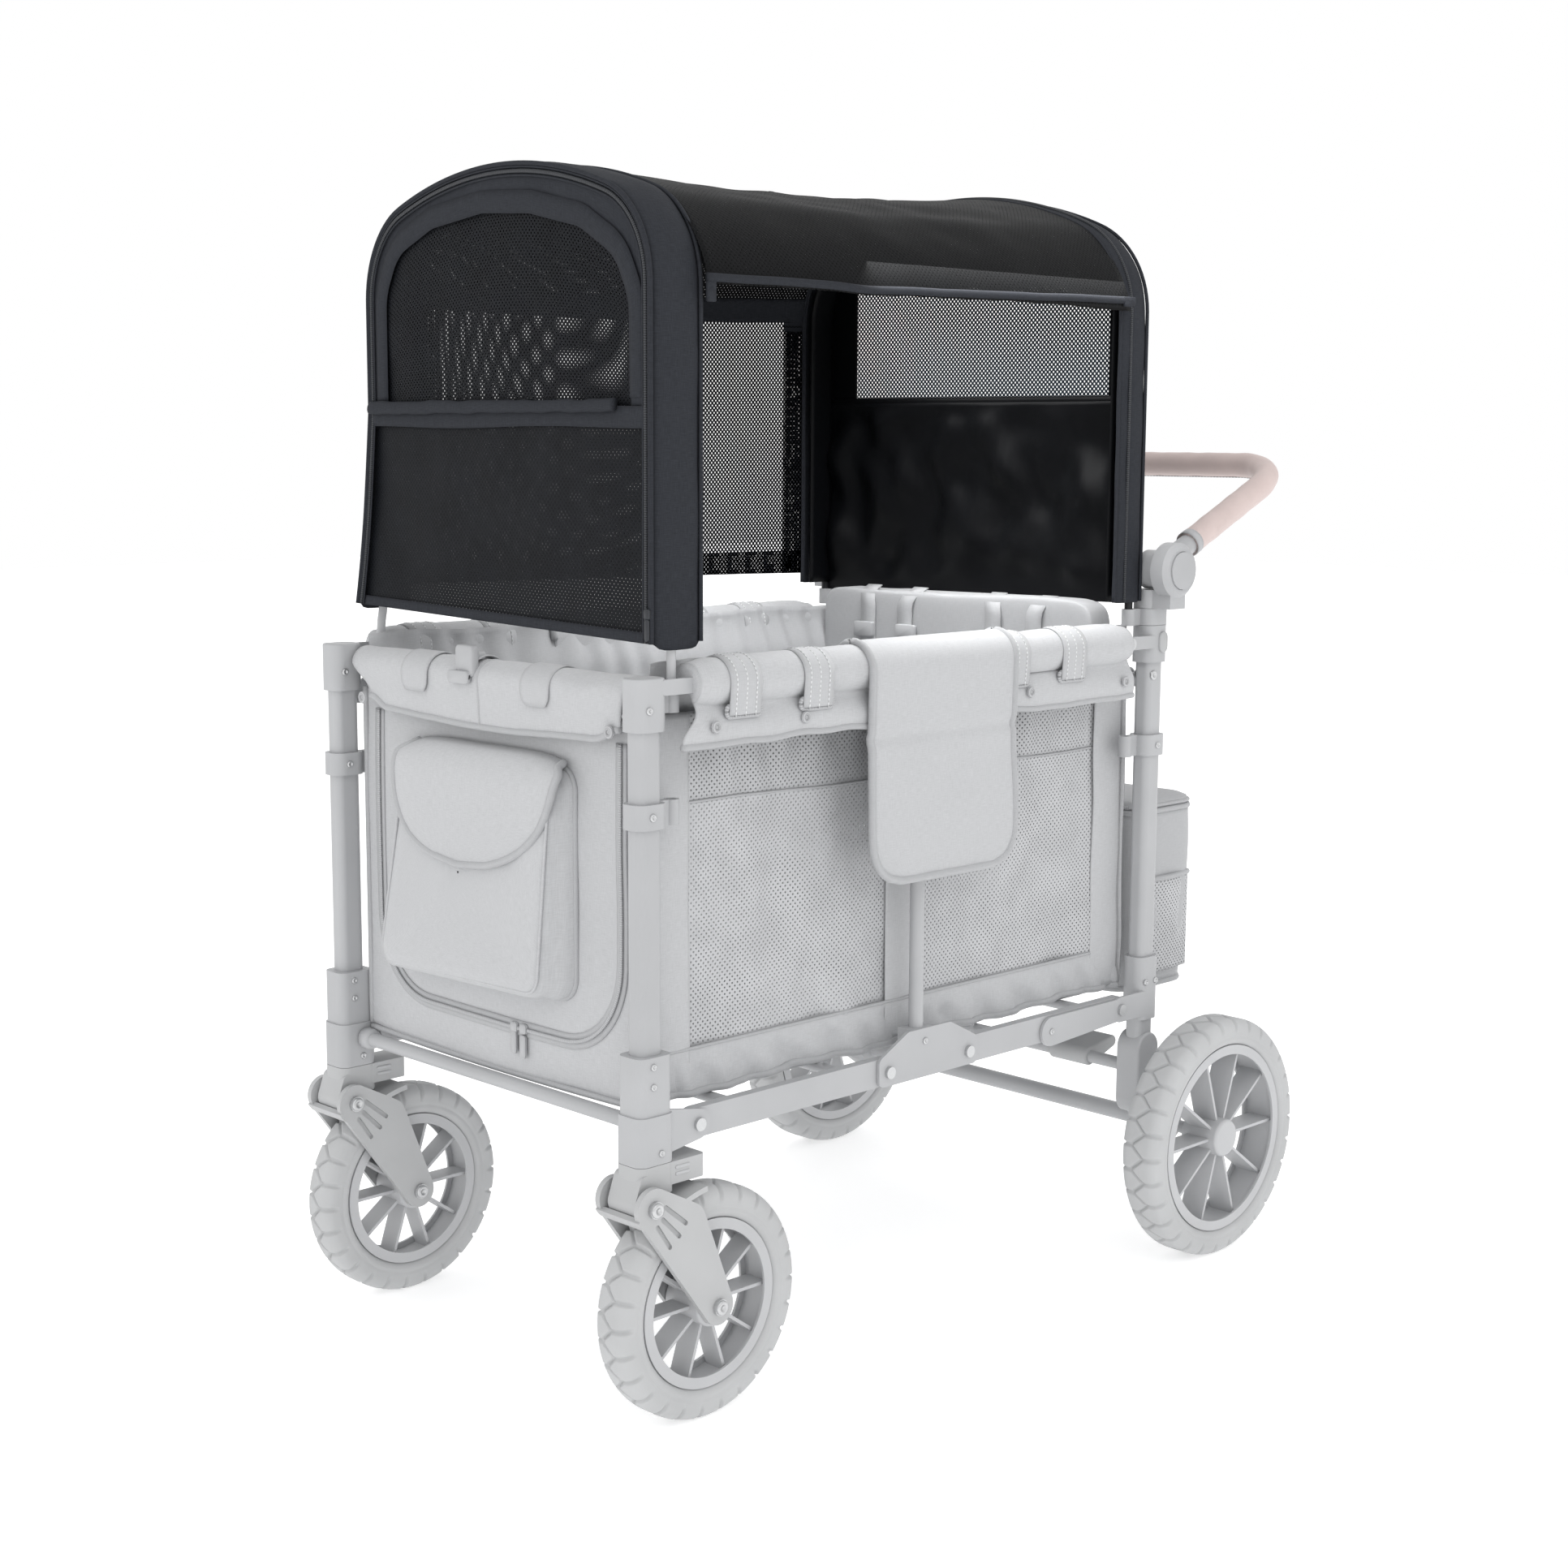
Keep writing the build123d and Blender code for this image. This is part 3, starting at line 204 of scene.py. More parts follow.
@dataclass(frozen=True)
class Finish:
    """One finish of the wagon.

    Args:
        name: material name.
        rgb: colour as display values.
        weave: kind of texture.
        rough: middle roughness.
        pitch: size of the texture in millimetres.
        depth: height of the texture in millimetres.
        vary: share by which the colour drifts.
        sheen: soft edge glow of cloth.
        hole: radius of a net's holes as a share of the pitch.
        slot: material slot of the record; not used.
        gloss: level of the mirror-like part, 0.5 on ordinary plastic.
    """
    name: str
    rgb: tuple
    weave: Weave
    rough: float = 0.6
    pitch: float = 1.0
    depth: float = 0.1
    vary: float = 0.1
    sheen: float = 0.0
    hole: float = 0.26
    slot: str = "fabric"
    gloss: float = 0.5

    def tones(self) -> tuple:
        """Darker and lighter ends of the colour.

        Returns:
            Two linear colours.
        """
        base = np.array(linear(self.rgb))
        dark, light = base * (1.0 - self.vary), base * (1.0 + self.vary)
        dark[3] = light[3] = 1.0
        return tuple(dark), tuple(np.minimum(light, 1.0))

    def material(self) -> bpy.types.Material:
        """Material of this finish, made once and shared.

        Returns:
            The material.
        """
        known = bpy.data.materials.get(self.name)
        if known:
            return known
        net = Nodes(self.name)
        coords = net.add("TexCoord")
        on_cloth = self.weave in (Weave.CLOTH, Weave.NET, Weave.LEATHER, Weave.ZIP)
        place = coords.outputs["UV" if on_cloth else "Object"]
        net.shader.inputs["Roughness"].default_value = self.rough
        net.shader.inputs["Specular IOR Level"].default_value = self.gloss
        makers = {Weave.CLOTH: self._cloth, Weave.NET: self._net, Weave.LEATHER: self._leather,
                  Weave.ZIP: self._zip, Weave.METAL: self._metal}
        makers.get(self.weave, self._hard)(net, place)
        return net.material

    def _hard(self, net: Nodes, place: object) -> None:
        """Paint, moulded plastic or rubber: slow drift of colour, fine grain in the roughness and surface.

        Args:
            net: the material's nodes.
            place: texture coordinates.
        """
        dark, light = self.tones()
        drift = net.noise(place, 9.0, 4.0)
        net.set(net.shader, "Base Color", net.ramp(drift, ((0.3, dark), (0.7, light))))
        grain = net.noise(place, 1000.0 / self.pitch, 2.0)
        low, high = (self.rough - 0.07,) * 3 + (1,), (self.rough + 0.09,) * 3 + (1,)
        net.set(net.shader, "Roughness", net.ramp(grain, ((0.25, low), (0.75, high))))
        net.bump(grain, self.depth * MM, 0.6)

    def _metal(self, net: Nodes, place: object) -> None:
        """Plated or brushed metal: streaks along one axis.

        Args:
            net: the material's nodes.
            place: texture coordinates.
        """
        net.shader.inputs["Metallic"].default_value = 0.85
        dark, light = self.tones()
        streak = net.noise(net.stretch(place, (40.0, 400.0, 400.0)), 3.0, 2.0)
        net.set(net.shader, "Base Color", net.ramp(streak, ((0.3, dark), (0.7, light))))
        net.bump(streak, self.depth * MM, 0.4)

    def _threads(self, net: Nodes, place: object) -> bpy.types.NodeSocket:
        """Over-and-under height of crossing threads, one pitch apart: the product of two sines.

        Args:
            net: the material's nodes.
            place: texture coordinates.

        Returns:
            The height.
        """
        turn = 2.0 * math.pi * 1000.0 / self.pitch
        split = net.add("SeparateXYZ", {0: place})
        warp = net.math("SINE", net.math("MULTIPLY", split.outputs[0], turn))
        weft = net.math("SINE", net.math("MULTIPLY", split.outputs[1], turn))
        return net.math("MULTIPLY", warp, weft)

    def _cloth(self, net: Nodes, place: object) -> None:
        """Heathered cloth: streaky warp and weft tones over a thread relief, with soft creases.

        Args:
            net: the material's nodes.
            place: texture coordinates.
        """
        dark, light = self.tones()
        warp = net.noise(net.stretch(place, (90.0, 1400.0, 1.0)), 1.0, 2.0)
        weft = net.noise(net.stretch(place, (1400.0, 90.0, 1.0)), 1.0, 2.0)
        tone = net.math("MULTIPLY", net.math("ADD", warp, weft), 0.5)
        net.set(net.shader, "Base Color", net.ramp(tone, ((0.38, dark), (0.62, light))))
        crease = net.noise(place, 14.0, 4.0)
        fine = net.math("MULTIPLY", self._threads(net, place), 0.12)
        relief = net.math("ADD", fine, net.math("MULTIPLY", crease, 1.5))
        net.bump(relief, self.depth * 4.0 * MM, 0.5)
        net.shader.inputs["Sheen Weight"].default_value = self.sheen
        net.shader.inputs["Sheen Roughness"].default_value = 0.5

    def _net(self, net: Nodes, place: object) -> None:
        """Knitted net: round holes on a turned square lattice, clear through.

        Args:
            net: the material's nodes.
            place: texture coordinates.
        """
        dark, light = self.tones()
        lattice = net.stretch(place, (1000.0 / self.pitch,) * 2 + (1.0,), 45.0)
        cell = net.add("TexVoronoi", {"Vector": lattice, "Scale": 1.0, "Randomness": 0.0},
                       voronoi_dimensions="2D")
        away = cell.outputs["Distance"]
        tone = net.noise(place, 22.0, 3.0)
        net.set(net.shader, "Base Color", net.ramp(tone, ((0.35, dark), (0.65, light))))
        net.bump(away, self.depth * MM, 0.5)
        net.shader.inputs["Sheen Weight"].default_value = self.sheen
        solid = net.ramp(away, ((self.hole - 0.04, (0, 0, 0, 1)), (self.hole + 0.04, (1, 1, 1, 1))))
        net.set(net.shader, "Alpha", solid)

    def _leather(self, net: Nodes, place: object) -> None:
        """Grained hide: cell pattern for the grain, darker in the hollows.

        Args:
            net: the material's nodes.
            place: texture coordinates.
        """
        dark, light = self.tones()
        cell = net.add("TexVoronoi", {"Vector": place, "Scale": 1000.0 / self.pitch})
        soft = net.noise(place, 30.0, 3.0)
        net.set(net.shader, "Base Color", net.ramp(soft, ((0.3, dark), (0.7, light))))
        net.bump(cell.outputs["Distance"], self.depth * MM, 0.5)

    def _zip(self, net: Nodes, place: object) -> None:
        """Zip teeth: ridges across the run, one pitch apart.

        Args:
            net: the material's nodes.
            place: texture coordinates.
        """
        dark, light = self.tones()
        split = net.add("SeparateXYZ", {0: place})
        ridge = net.math("SINE", net.math("MULTIPLY", split.outputs[0], 2.0 * math.pi * 1000.0 / self.pitch))
        half = net.math("ADD", net.math("MULTIPLY", ridge, 0.5), 0.5)
        net.set(net.shader, "Base Color", net.ramp(half, ((0.2, dark), (0.8, light))))
        net.bump(half, self.depth * MM, 0.8)


FRAME_PAINT = Finish("frame_paint", (173, 174, 176), Weave.PAINT, 0.42, 0.6, 0.02, 0.04, slot="frame_tube")
CAST = Finish("cast_plastic", (174, 175, 177), Weave.MOULD, 0.5, 0.8, 0.05, 0.05, slot="hard_plastic")
CAST_PALE = Finish("fork_plastic", (176, 177, 178), Weave.MOULD, 0.5, 0.8, 0.05, 0.05, slot="hard_plastic")
RIM_PLASTIC = Finish("rim_plastic", (183, 184, 186), Weave.MOULD, 0.45, 0.8, 0.04, 0.05, slot="rim")
TYRE_RUBBER = Finish("tyre_rubber", (182, 183, 184), Weave.RUBBER, 0.8, 0.7, 0.1, 0.07, slot="tyre")
PEDAL_RUBBER = Finish("pedal_rubber", (176, 177, 178), Weave.RUBBER, 0.75, 0.7, 0.1, 0.06, slot="rubber")
ZINC = Finish("zinc", (196, 197, 198), Weave.METAL, 0.32, 1.0, 0.02, 0.06, slot="steel")
POLE_PAINT = Finish("pole_paint", (190, 191, 193), Weave.PAINT, 0.4, 0.6, 0.02, 0.04, slot="canopy_pole")
HEATHER = Finish("heather_cloth", (184, 185, 187), Weave.CLOTH, 0.85, 0.9, 0.1, 0.07, 0.15)
INNER_CLOTH = Finish("inner_cloth", (180, 181, 183), Weave.CLOTH, 0.85, 0.8, 0.1, 0.05, 0.1)
BAG_CLOTH = Finish("bag_cloth", (175, 176, 178), Weave.CLOTH, 0.8, 0.8, 0.1, 0.05, 0.1)
SIDE_NET = Finish("side_net", (185, 186, 188), Weave.NET, 0.75, 5.0, 0.5, 0.05, 0.1, 0.2)
WEBBING = Finish("webbing", (181, 182, 184), Weave.CLOTH, 0.7, 1.8, 0.2, 0.05, 0.1)
BINDING = Finish("binding", (172, 173, 175), Weave.CLOTH, 0.8, 1.2, 0.1, 0.05, 0.1)
STITCH = Finish("stitch_thread", (206, 207, 208), Weave.ZIP, 0.7, 5.0, 0.4, 0.2)
PALE_ZIP = Finish("pale_zip", (176, 177, 179), Weave.ZIP, 0.5, 2.4, 0.5, 0.12)
GRIP_LEATHER = Finish("grip_leather", (205, 188, 184), Weave.LEATHER, 0.5, 1.6, 0.15, 0.05, slot="leather")
BLACK_CLOTH = Finish("black_cloth", (46, 48, 53), Weave.CLOTH, 0.75, 0.8, 0.1, 0.18,
                     slot="canopy_cloth", gloss=0.12)
# Lining for the canopy's inside faces (sleeve linings, rear panel): glossier than the outer black cloth, and
# its near-black colour, far darker than that cloth, is painted shade of the canopy's inside.
BLACK_LINING_PAINTED_SHADE = Finish("black_lining_painted_shade", (8, 9, 12), Weave.CLOTH, 0.48, 0.8, 0.1, 0.2,
                      slot="canopy_cloth", gloss=0.16)
POLE_BLACK = Finish("pole_black", (34, 35, 38), Weave.PAINT, 0.45, 0.6, 0.02, 0.08,
                    slot="canopy_pole", gloss=0.3)
BLACK_ZIP = Finish("black_zip", (48, 50, 54), Weave.ZIP, 0.4, 2.4, 0.5, 0.5, slot="canopy_cloth", gloss=0.3)


def black_net(name: str, hole: float, rgb: tuple = (18, 20, 24)) -> Finish:
    """Black net of the canopy with a given size of hole.

    Args:
        name: material name.
        hole: radius of the holes as a share of the pitch.
        rgb: display colour.

    Returns:
        The finish.
    """
    return Finish(name, rgb, Weave.NET, 0.6, 4.4, 0.6, 0.15, 0.0, hole, "canopy_cloth", 0.12)


FRONT_NET = black_net("front_net", 0.12)
FRONT_WINDOW_NET = black_net("front_window_net", 0.24)
ROOF_NET = black_net("roof_net", 0.12, (10, 11, 13))
SIDE_WINDOW_NET = black_net("side_window_net", 0.3)
REAR_WINDOW_NET = black_net("rear_window_net", 0.32, (20, 32, 42))


@dataclass
class Patch:
    """A grid of points, in millimetres about the middle of the wagon, with its texture coordinates.

    Args:
        points: rows by columns by 3.
        loop_u: the last row joins the first.
        loop_v: the last column joins the first.
        finish: index into the piece's finishes.
        caps: closes the first and last rows, of a patch that joins round its columns, with a fan.
    """
    points: Array
    loop_u: bool = False
    loop_v: bool = False
    finish: int = 0
    caps: bool = False

    def coordinates(self) -> Array:
        """Arc length in metres along both directions, from the middle row and column.

        Returns:
            Rows by columns by 2.
        """
        p = self.points
        mid_u, mid_v = p[:, p.shape[1] // 2], p[p.shape[0] // 2]
        u = np.concatenate([[0.0], np.cumsum(np.linalg.norm(np.diff(mid_u, axis=0), axis=1))])
        v = np.concatenate([[0.0], np.cumsum(np.linalg.norm(np.diff(mid_v, axis=0), axis=1))])
        return np.stack(np.meshgrid(u, v, indexing="ij"), axis=-1) * MM

    def faces(self, start: int) -> Array:
        """Corner numbers of the grid's quads.

        Args:
            start: number of the grid's first point.

        Returns:
            Quads by 4.
        """
        nu, nv = self.points.shape[:2]
        index = np.arange(nu * nv).reshape(nu, nv)
        if self.loop_u:
            index = np.vstack([index, index[:1]])
        if self.loop_v:
            index = np.hstack([index, index[:, :1]])
        quads = np.stack([index[:-1, :-1], index[1:, :-1], index[1:, 1:], index[:-1, 1:]], axis=-1)
        return quads.reshape(-1, 4) + start


def piece(name: str, patches: Sequence[Patch], finishes: Sequence[Finish], body: str, wall: float = 0.0,
          smooth: bool = True, bevel: float = 0.0) -> bpy.types.Object:
    """One object from grids, dressed and riding on a body.

    Args:
        name: object name.
        patches: the grids, each with its finish number.
        finishes: the piece's finishes.
        body: body that carries it.
        wall: thickness in millimetres given to open sheets, or 0.
        smooth: round shading.
        bevel: width in millimetres of softened edges, or 0.

    Returns:
        The object.
    """
    verts, quads, uvs, slots, start = [], [], [], [], 0
    fans, fan_slots = [], []
    for patch in patches:
        flat = patch.points.reshape(-1, 3)
        grid = patch.faces(start)
        verts.append(flat)
        quads.append(grid)
        uvs.append(patch.coordinates().reshape(-1, 2))
        slots.append(np.full(len(grid), patch.finish))
        if patch.caps:
            nu, nv = patch.points.shape[:2]
            last = start + (nu - 1) * nv
            fans += [list(range(start, start + nv)), list(range(last + nv - 1, last - 1, -1))]
            fan_slots += [patch.finish] * 2
        start += len(flat)
    co = (np.concatenate(verts) + np.array([0.0, SHIFT_Y, 0.0])) * MM
    mesh = bpy.data.meshes.new(name)
    mesh.from_pydata(co.tolist(), [], np.concatenate(quads).tolist() + fans)
    layer = mesh.uv_layers.new(name="length")
    corner = np.empty(len(mesh.loops), np.int32)
    mesh.loops.foreach_get("vertex_index", corner)
    layer.data.foreach_set("uv", np.concatenate(uvs)[corner].astype(np.float32).ravel())
    slots.append(np.array(fan_slots, int))
    mesh.polygons.foreach_set("material_index", np.concatenate(slots).astype(np.int32))
    mesh.polygons.foreach_set("use_smooth", np.full(len(mesh.polygons), smooth))
    for finish in finishes:
        mesh.materials.append(finish.material())
    mesh.update()
    obj = bpy.data.objects.new(name, mesh)
    bpy.context.scene.collection.objects.link(obj)
    if wall:
        solid = obj.modifiers.new("wall", "SOLIDIFY")
        solid.thickness = wall * MM
        solid.offset = 0.0
    if bevel:
        soft = obj.modifiers.new("edges", "BEVEL")
        soft.width = bevel * MM
        soft.segments = 2
        soft.limit_method = "ANGLE"
    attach(obj, body)
    LOG.info("%s: %d faces on %s", name, len(mesh.polygons), body)
    return obj


def smoothstep(a: float, b: float, x: Array) -> Array:
    """0 before a, 1 after b, and an S curve between.

    Args:
        a: start of the rise.
        b: end of the rise.
        x: places.

    Returns:
        Values from 0 to 1.
    """
    t = np.clip((x - a) / (b - a), 0.0, 1.0)
    return t * t * (3.0 - 2.0 * t)


def ripple(u: Array, v: Array, seed: int, waves: int = 7) -> Array:
    """Crumpled cloth: a sum of bent sines in random directions, about -1 to 1, the same each run.

    Args:
        u: first place on the cloth.
        v: second place on the cloth.
        seed: choice of waves.
        waves: number of waves.

    Returns:
        Heights.
    """
    rng = np.random.default_rng(seed)
    total = np.zeros(np.broadcast(u, v).shape)
    for k in range(waves):
        finer = 1 + 0.35 * k
        angle = rng.uniform(0, math.pi)
        phase = rng.uniform(0, 6.28)
        size = rng.uniform(0.6, 1.8) * finer
        bend = 0.8 * np.sin(size * 0.7 * (u * math.sin(angle) - v * math.cos(angle)) + 2 * phase)
        total += np.sin(size * (u * math.cos(angle) + v * math.sin(angle)) + phase + bend) / finer
    return total / 2.6


def points(x: object, y: object, z: object) -> Array:
    """Points from their coordinates, any of which may be one number for them all.

    Args:
        x: places across.
        y: places along.
        z: heights.

    Returns:
        Coordinates in the last axis.
    """
    return np.stack(np.broadcast_arrays(np.asarray(x, float), y, z), axis=-1)


def frames(path: Array, loop: bool = False) -> tuple:
    """Unit tangents of a path and two crosswise directions carried along it without twist.

    Args:
        path: points by 3.
        loop: the path closes on itself.

    Returns:
        Tangents, first and second crosswise directions.
    """
    if loop:
        tangent = np.roll(path, -1, 0) - np.roll(path, 1, 0)
    else:
        tangent = np.gradient(path, axis=0)
    tangent = tangent / np.linalg.norm(tangent, axis=1, keepdims=True)
    spread = np.linalg.svd(path - path.mean(0), full_matrices=True)[2][2]
    first = spread - tangent * (tangent @ spread)[:, None]
    first = first / np.linalg.norm(first, axis=1, keepdims=True)
    return tangent, first, np.cross(tangent, first)


def tube(path: Array, radius: object, sides: int = 12, loop: bool = False, finish: int = 0,
         flat: float = 1.0) -> Patch:
    """Round bar or piping along a path.

    Args:
        path: points by 3.
        radius: one radius, or one for each point.
        sides: points round it.
        loop: the path closes on itself.
        finish: finish number.
        flat: share of the radius kept along the path plane's normal.

    Returns:
        The patch.
    """
    first, second = frames(path, loop)[1:]
    turn = np.linspace(0.0, 2.0 * math.pi, sides, endpoint=False)
    size = np.broadcast_to(np.asarray(radius, float), (len(path),))[:, None, None]
    ring = flat * first[:, None] * np.cos(turn)[None, :, None] + second[:, None] * np.sin(turn)[None, :, None]
    return Patch(path[:, None] + ring * size, loop_u=loop, loop_v=True, finish=finish, caps=not loop)


def along(path: Array, count: int) -> Array:
    """Points evenly spaced along a polyline.

    Args:
        path: corners of the polyline.
        count: number of points.

    Returns:
        The points.
    """
    step = np.concatenate([[0.0], np.cumsum(np.linalg.norm(np.diff(path, axis=0), axis=1))])
    at = np.linspace(0.0, step[-1], count)
    return np.stack([np.interp(at, step, path[:, k]) for k in range(path.shape[1])], axis=1)


def rounded(corners: Sequence[tuple], radius: float, per: int = 8, loop: bool = True) -> Array:
    """Polyline through corners in a plane, each turned by an arc.

    Args:
        corners: (a, b) points.
        radius: largest arc radius.
        per: points on each arc.
        loop: the line closes on itself.

    Returns:
        Points by 2.
    """
    pts = np.asarray(corners, float)
    out = [] if loop else [pts[:1]]
    for k in (range(len(pts)) if loop else range(1, len(pts) - 1)):
        p, a, b = pts[k], pts[k - 1], pts[(k + 1) % len(pts)]
        ua, ub = (a - p) / np.linalg.norm(a - p), (b - p) / np.linalg.norm(b - p)
        half = math.acos(float(np.clip(ua @ ub, -1, 1))) / 2
        cut = min(radius / math.tan(half), 0.49 * np.linalg.norm(a - p), 0.49 * np.linalg.norm(b - p))
        centre = p + (ua + ub) / np.linalg.norm(ua + ub) * cut / math.cos(half)
        sweep = math.pi - 2.0 * half
        t = np.linspace(0.0, sweep, per)[:, None]
        first, last = p + ua * cut - centre, p + ub * cut - centre
        out.append(centre + (np.sin(sweep - t) * first + np.sin(t) * last) / math.sin(sweep))
    if not loop:
        out.append(pts[-1:])
    return np.concatenate(out)


def ribbon(path: Array, across: Array, width: float, finish: int = 0, columns: int = 3, crown: float = 0.0,
           loop: bool = False) -> Patch:
    """Flat tape along a path.

    Args:
        path: points by 3, its middle line.
        across: unit crosswise direction, one or one for each point.
        width: full width.
        finish: finish number.
        columns: points across.
        crown: height of its rounded middle along the tape's normal.
        loop: the path closes on itself.

    Returns:
        The patch.
    """
    side = np.broadcast_to(across, path.shape)
    t = np.linspace(-0.5, 0.5, columns)
    tangent = frames(path, loop)[0]
    normal = np.cross(tangent, side)
    rise = crown * (1.0 - (2.0 * t) ** 2)
    grid = path[:, None] + side[:, None] * (t * width)[None, :, None] + normal[:, None] * rise[None, :, None]
    return Patch(grid, loop_u=loop, finish=finish)


def box_patch(centre: Sequence[float], size: Sequence[float], corner: float, finish: int = 0,
              axis: int = 2) -> Patch:
    """Closed block with rounded corners round one axis and softened ends.

    Args:
        centre: its middle.
        size: full extents along X, Y and Z.
        corner: corner radius.
        finish: finish number.
        axis: axis that the corners turn about.

    Returns:
        The patch.
    """
    a, b = [k for k in range(3) if k != axis]
    ha, hb, hc = size[a] / 2, size[b] / 2, size[axis] / 2
    ring = rounded([(-ha, -hb), (ha, -hb), (ha, hb), (-ha, hb)], corner, 5)
    soft = min(corner, hc) * 0.35
    rows = []
    for inset, level in ((soft, -hc), (0.0, -hc + soft), (0.0, hc - soft), (soft, hc)):
        grid = np.zeros((len(ring), 3))
        scale = np.array([1 - inset / ha, 1 - inset / hb])
        grid[:, [a, b]] = ring * scale
        grid[:, axis] = level
        rows.append(grid + np.asarray(centre, float))
    grid = np.stack(rows)
    if axis == 1:
        grid = grid[:, ::-1]
    return Patch(grid, loop_v=True, finish=finish, caps=True)


def button(centre: Sequence[float], axis: int, sign: float, radius: float, height: float,
           finish: int = 0) -> Patch:
    """Domed screw or rivet head with a socket, standing out along one axis.

    Args:
        centre: middle of its base.
        axis: 0, 1 or 2.
        sign: which way it stands out.
        radius: head radius.
        height: head height.
        finish: finish number.

    Returns:
        The patch.
    """
    r = np.array([1.0, 1.0, 0.92, 0.72, 0.45, 0.42, 0.02]) * radius
    h = np.array([0.0, 0.45, 0.78, 0.96, 1.0, 0.55, 0.5]) * height
    turn = np.linspace(0.0, 2.0 * math.pi, 16, endpoint=False)
    a, b = [k for k in range(3) if k != axis]
    grid = np.zeros((len(r), len(turn), 3))
    grid[..., a] = r[:, None] * np.cos(turn)
    grid[..., b] = r[:, None] * np.sin(turn) * (sign if axis != 1 else -sign)
    grid[..., axis] = sign * h[:, None]
    return Patch(grid + np.asarray(centre, float), loop_v=True, finish=finish)


def dress(finish: Finish, *nodes: str) -> None:
    """Gives CAD nodes a finish.

    Args:
        finish: the finish.
        nodes: names of the nodes.
    """
    for name in nodes:
        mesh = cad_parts[name].data
        mesh.materials.clear()
        mesh.materials.append(finish.material())


@dataclass
class Studio:
    """Pale floor, soft light and the camera at the photograph's angle, its eye in millimetres."""
    eye: tuple = (2027.9, -1958.2, 1033.1)
    azimuth: float = 45.4
    elevation: float = 8.4
    roll: float = 0.3
    lens: float = 53.80
    floor: float = 30.0

    def camera(self) -> None:
        """Places the camera: looks down its own bearing and elevation, turned by a small roll."""
        a, e, r = (math.radians(v) for v in (self.azimuth, self.elevation, self.roll))
        back = np.array([math.sin(a) * math.cos(e), -math.cos(a) * math.cos(e), math.sin(e)])
        right = np.cross(-back, Z_AXIS)
        right /= np.linalg.norm(right)
        up = np.cross(right, -back)
        turned = math.cos(r) * right + math.sin(r) * up
        upright = math.cos(r) * up - math.sin(r) * right
        data = bpy.data.cameras.new("camera")
        data.lens = self.lens
        data.sensor_width = 36.0
        data.clip_end = 100.0
        cam = bpy.data.objects.new("camera", data)
        bpy.context.scene.collection.objects.link(cam)
        place = (np.array(self.eye) + [0.0, SHIFT_Y, 0.0]) * MM
        matrix = np.eye(4)
        matrix[:3, 0], matrix[:3, 1], matrix[:3, 2], matrix[:3, 3] = turned, upright, back, place
        cam.matrix_world = Matrix(matrix.tolist())
        bpy.context.scene.camera = cam

    def lamp(self, name: str, place: tuple, aim: tuple, size: float, watts: float,
             spread: float = 180.0) -> None:
        """One square soft light aimed at a point.

        Args:
            name: object name.
            place: its middle, in metres.
            aim: point that it faces, in metres.
            size: its edge, in metres.
            watts: its power.
            spread: angle of its beam in degrees.
        """
        data = bpy.data.lights.new(name, "AREA")
        data.spread = math.radians(spread)
        data.size = size
        data.energy = watts
        obj = bpy.data.objects.new(name, data)
        obj.visible_camera = False
        bpy.context.scene.collection.objects.link(obj)
        back = np.array(place, float) - np.array(aim, float)
        back /= np.linalg.norm(back)
        right = np.cross(Z_AXIS, back) if abs(back[2]) < 0.99 else X_AXIS.copy()
        right /= np.linalg.norm(right)
        matrix = np.eye(4)
        matrix[:3, 0], matrix[:3, 1], matrix[:3, 2], matrix[:3, 3] = right, np.cross(back, right), back, place
        obj.matrix_world = Matrix(matrix.tolist())

    def build(self) -> None:
        """White surround, floor, lamps and camera."""
        scene = bpy.context.scene
        scene.view_settings.view_transform = "Standard"
        world = bpy.data.worlds.new("studio")
        world.use_nodes = True
        world.node_tree.nodes["Background"].inputs["Color"].default_value = (1.0, 1.0, 1.0, 1.0)
        world.node_tree.nodes["Background"].inputs["Strength"].default_value = 1.0
        scene.world = world
        half = self.floor / 2
        mesh = bpy.data.meshes.new("floor")
        corners = [(-half, -half, 0), (half, -half, 0), (half, half, 0), (-half, half, 0)]
        mesh.from_pydata(corners, [], [(0, 1, 2, 3)])
        net = Nodes("floor_white")
        net.shader.inputs["Roughness"].default_value = 0.9
        grain = net.noise(net.add("TexCoord").outputs["Object"], 3.0, 2.0)
        tones = ((0.0, (0.93, 0.93, 0.93, 1)), (1.0, (0.96, 0.96, 0.96, 1)))
        net.set(net.shader, "Base Color", net.ramp(grain, tones))
        net.shader.inputs["Emission Color"].default_value = (1.0, 1.0, 1.0, 1.0)
        net.shader.inputs["Emission Strength"].default_value = 0.4
        mesh.materials.append(net.material)
        floor = bpy.data.objects.new("floor", mesh)
        scene.collection.objects.link(floor)
        self.lamp("key", (3.2, -1.6, 3.4), (0.0, 0.0, 0.7), 2.6, 14.0)
        self.lamp("fill", (0.6, -3.6, 2.0), (0.0, 0.0, 0.6), 2.6, 6.0)
        self.lamp("top", (0.2, 0.0, 4.2), (0.0, 0.0, 0.8), 2.4, 4.0)
        self.lamp("cabin", (0.08, 0.0, 1.22), (0.08, 0.0, 0.5), 0.45, 3.2, 116.0)
        self.camera()


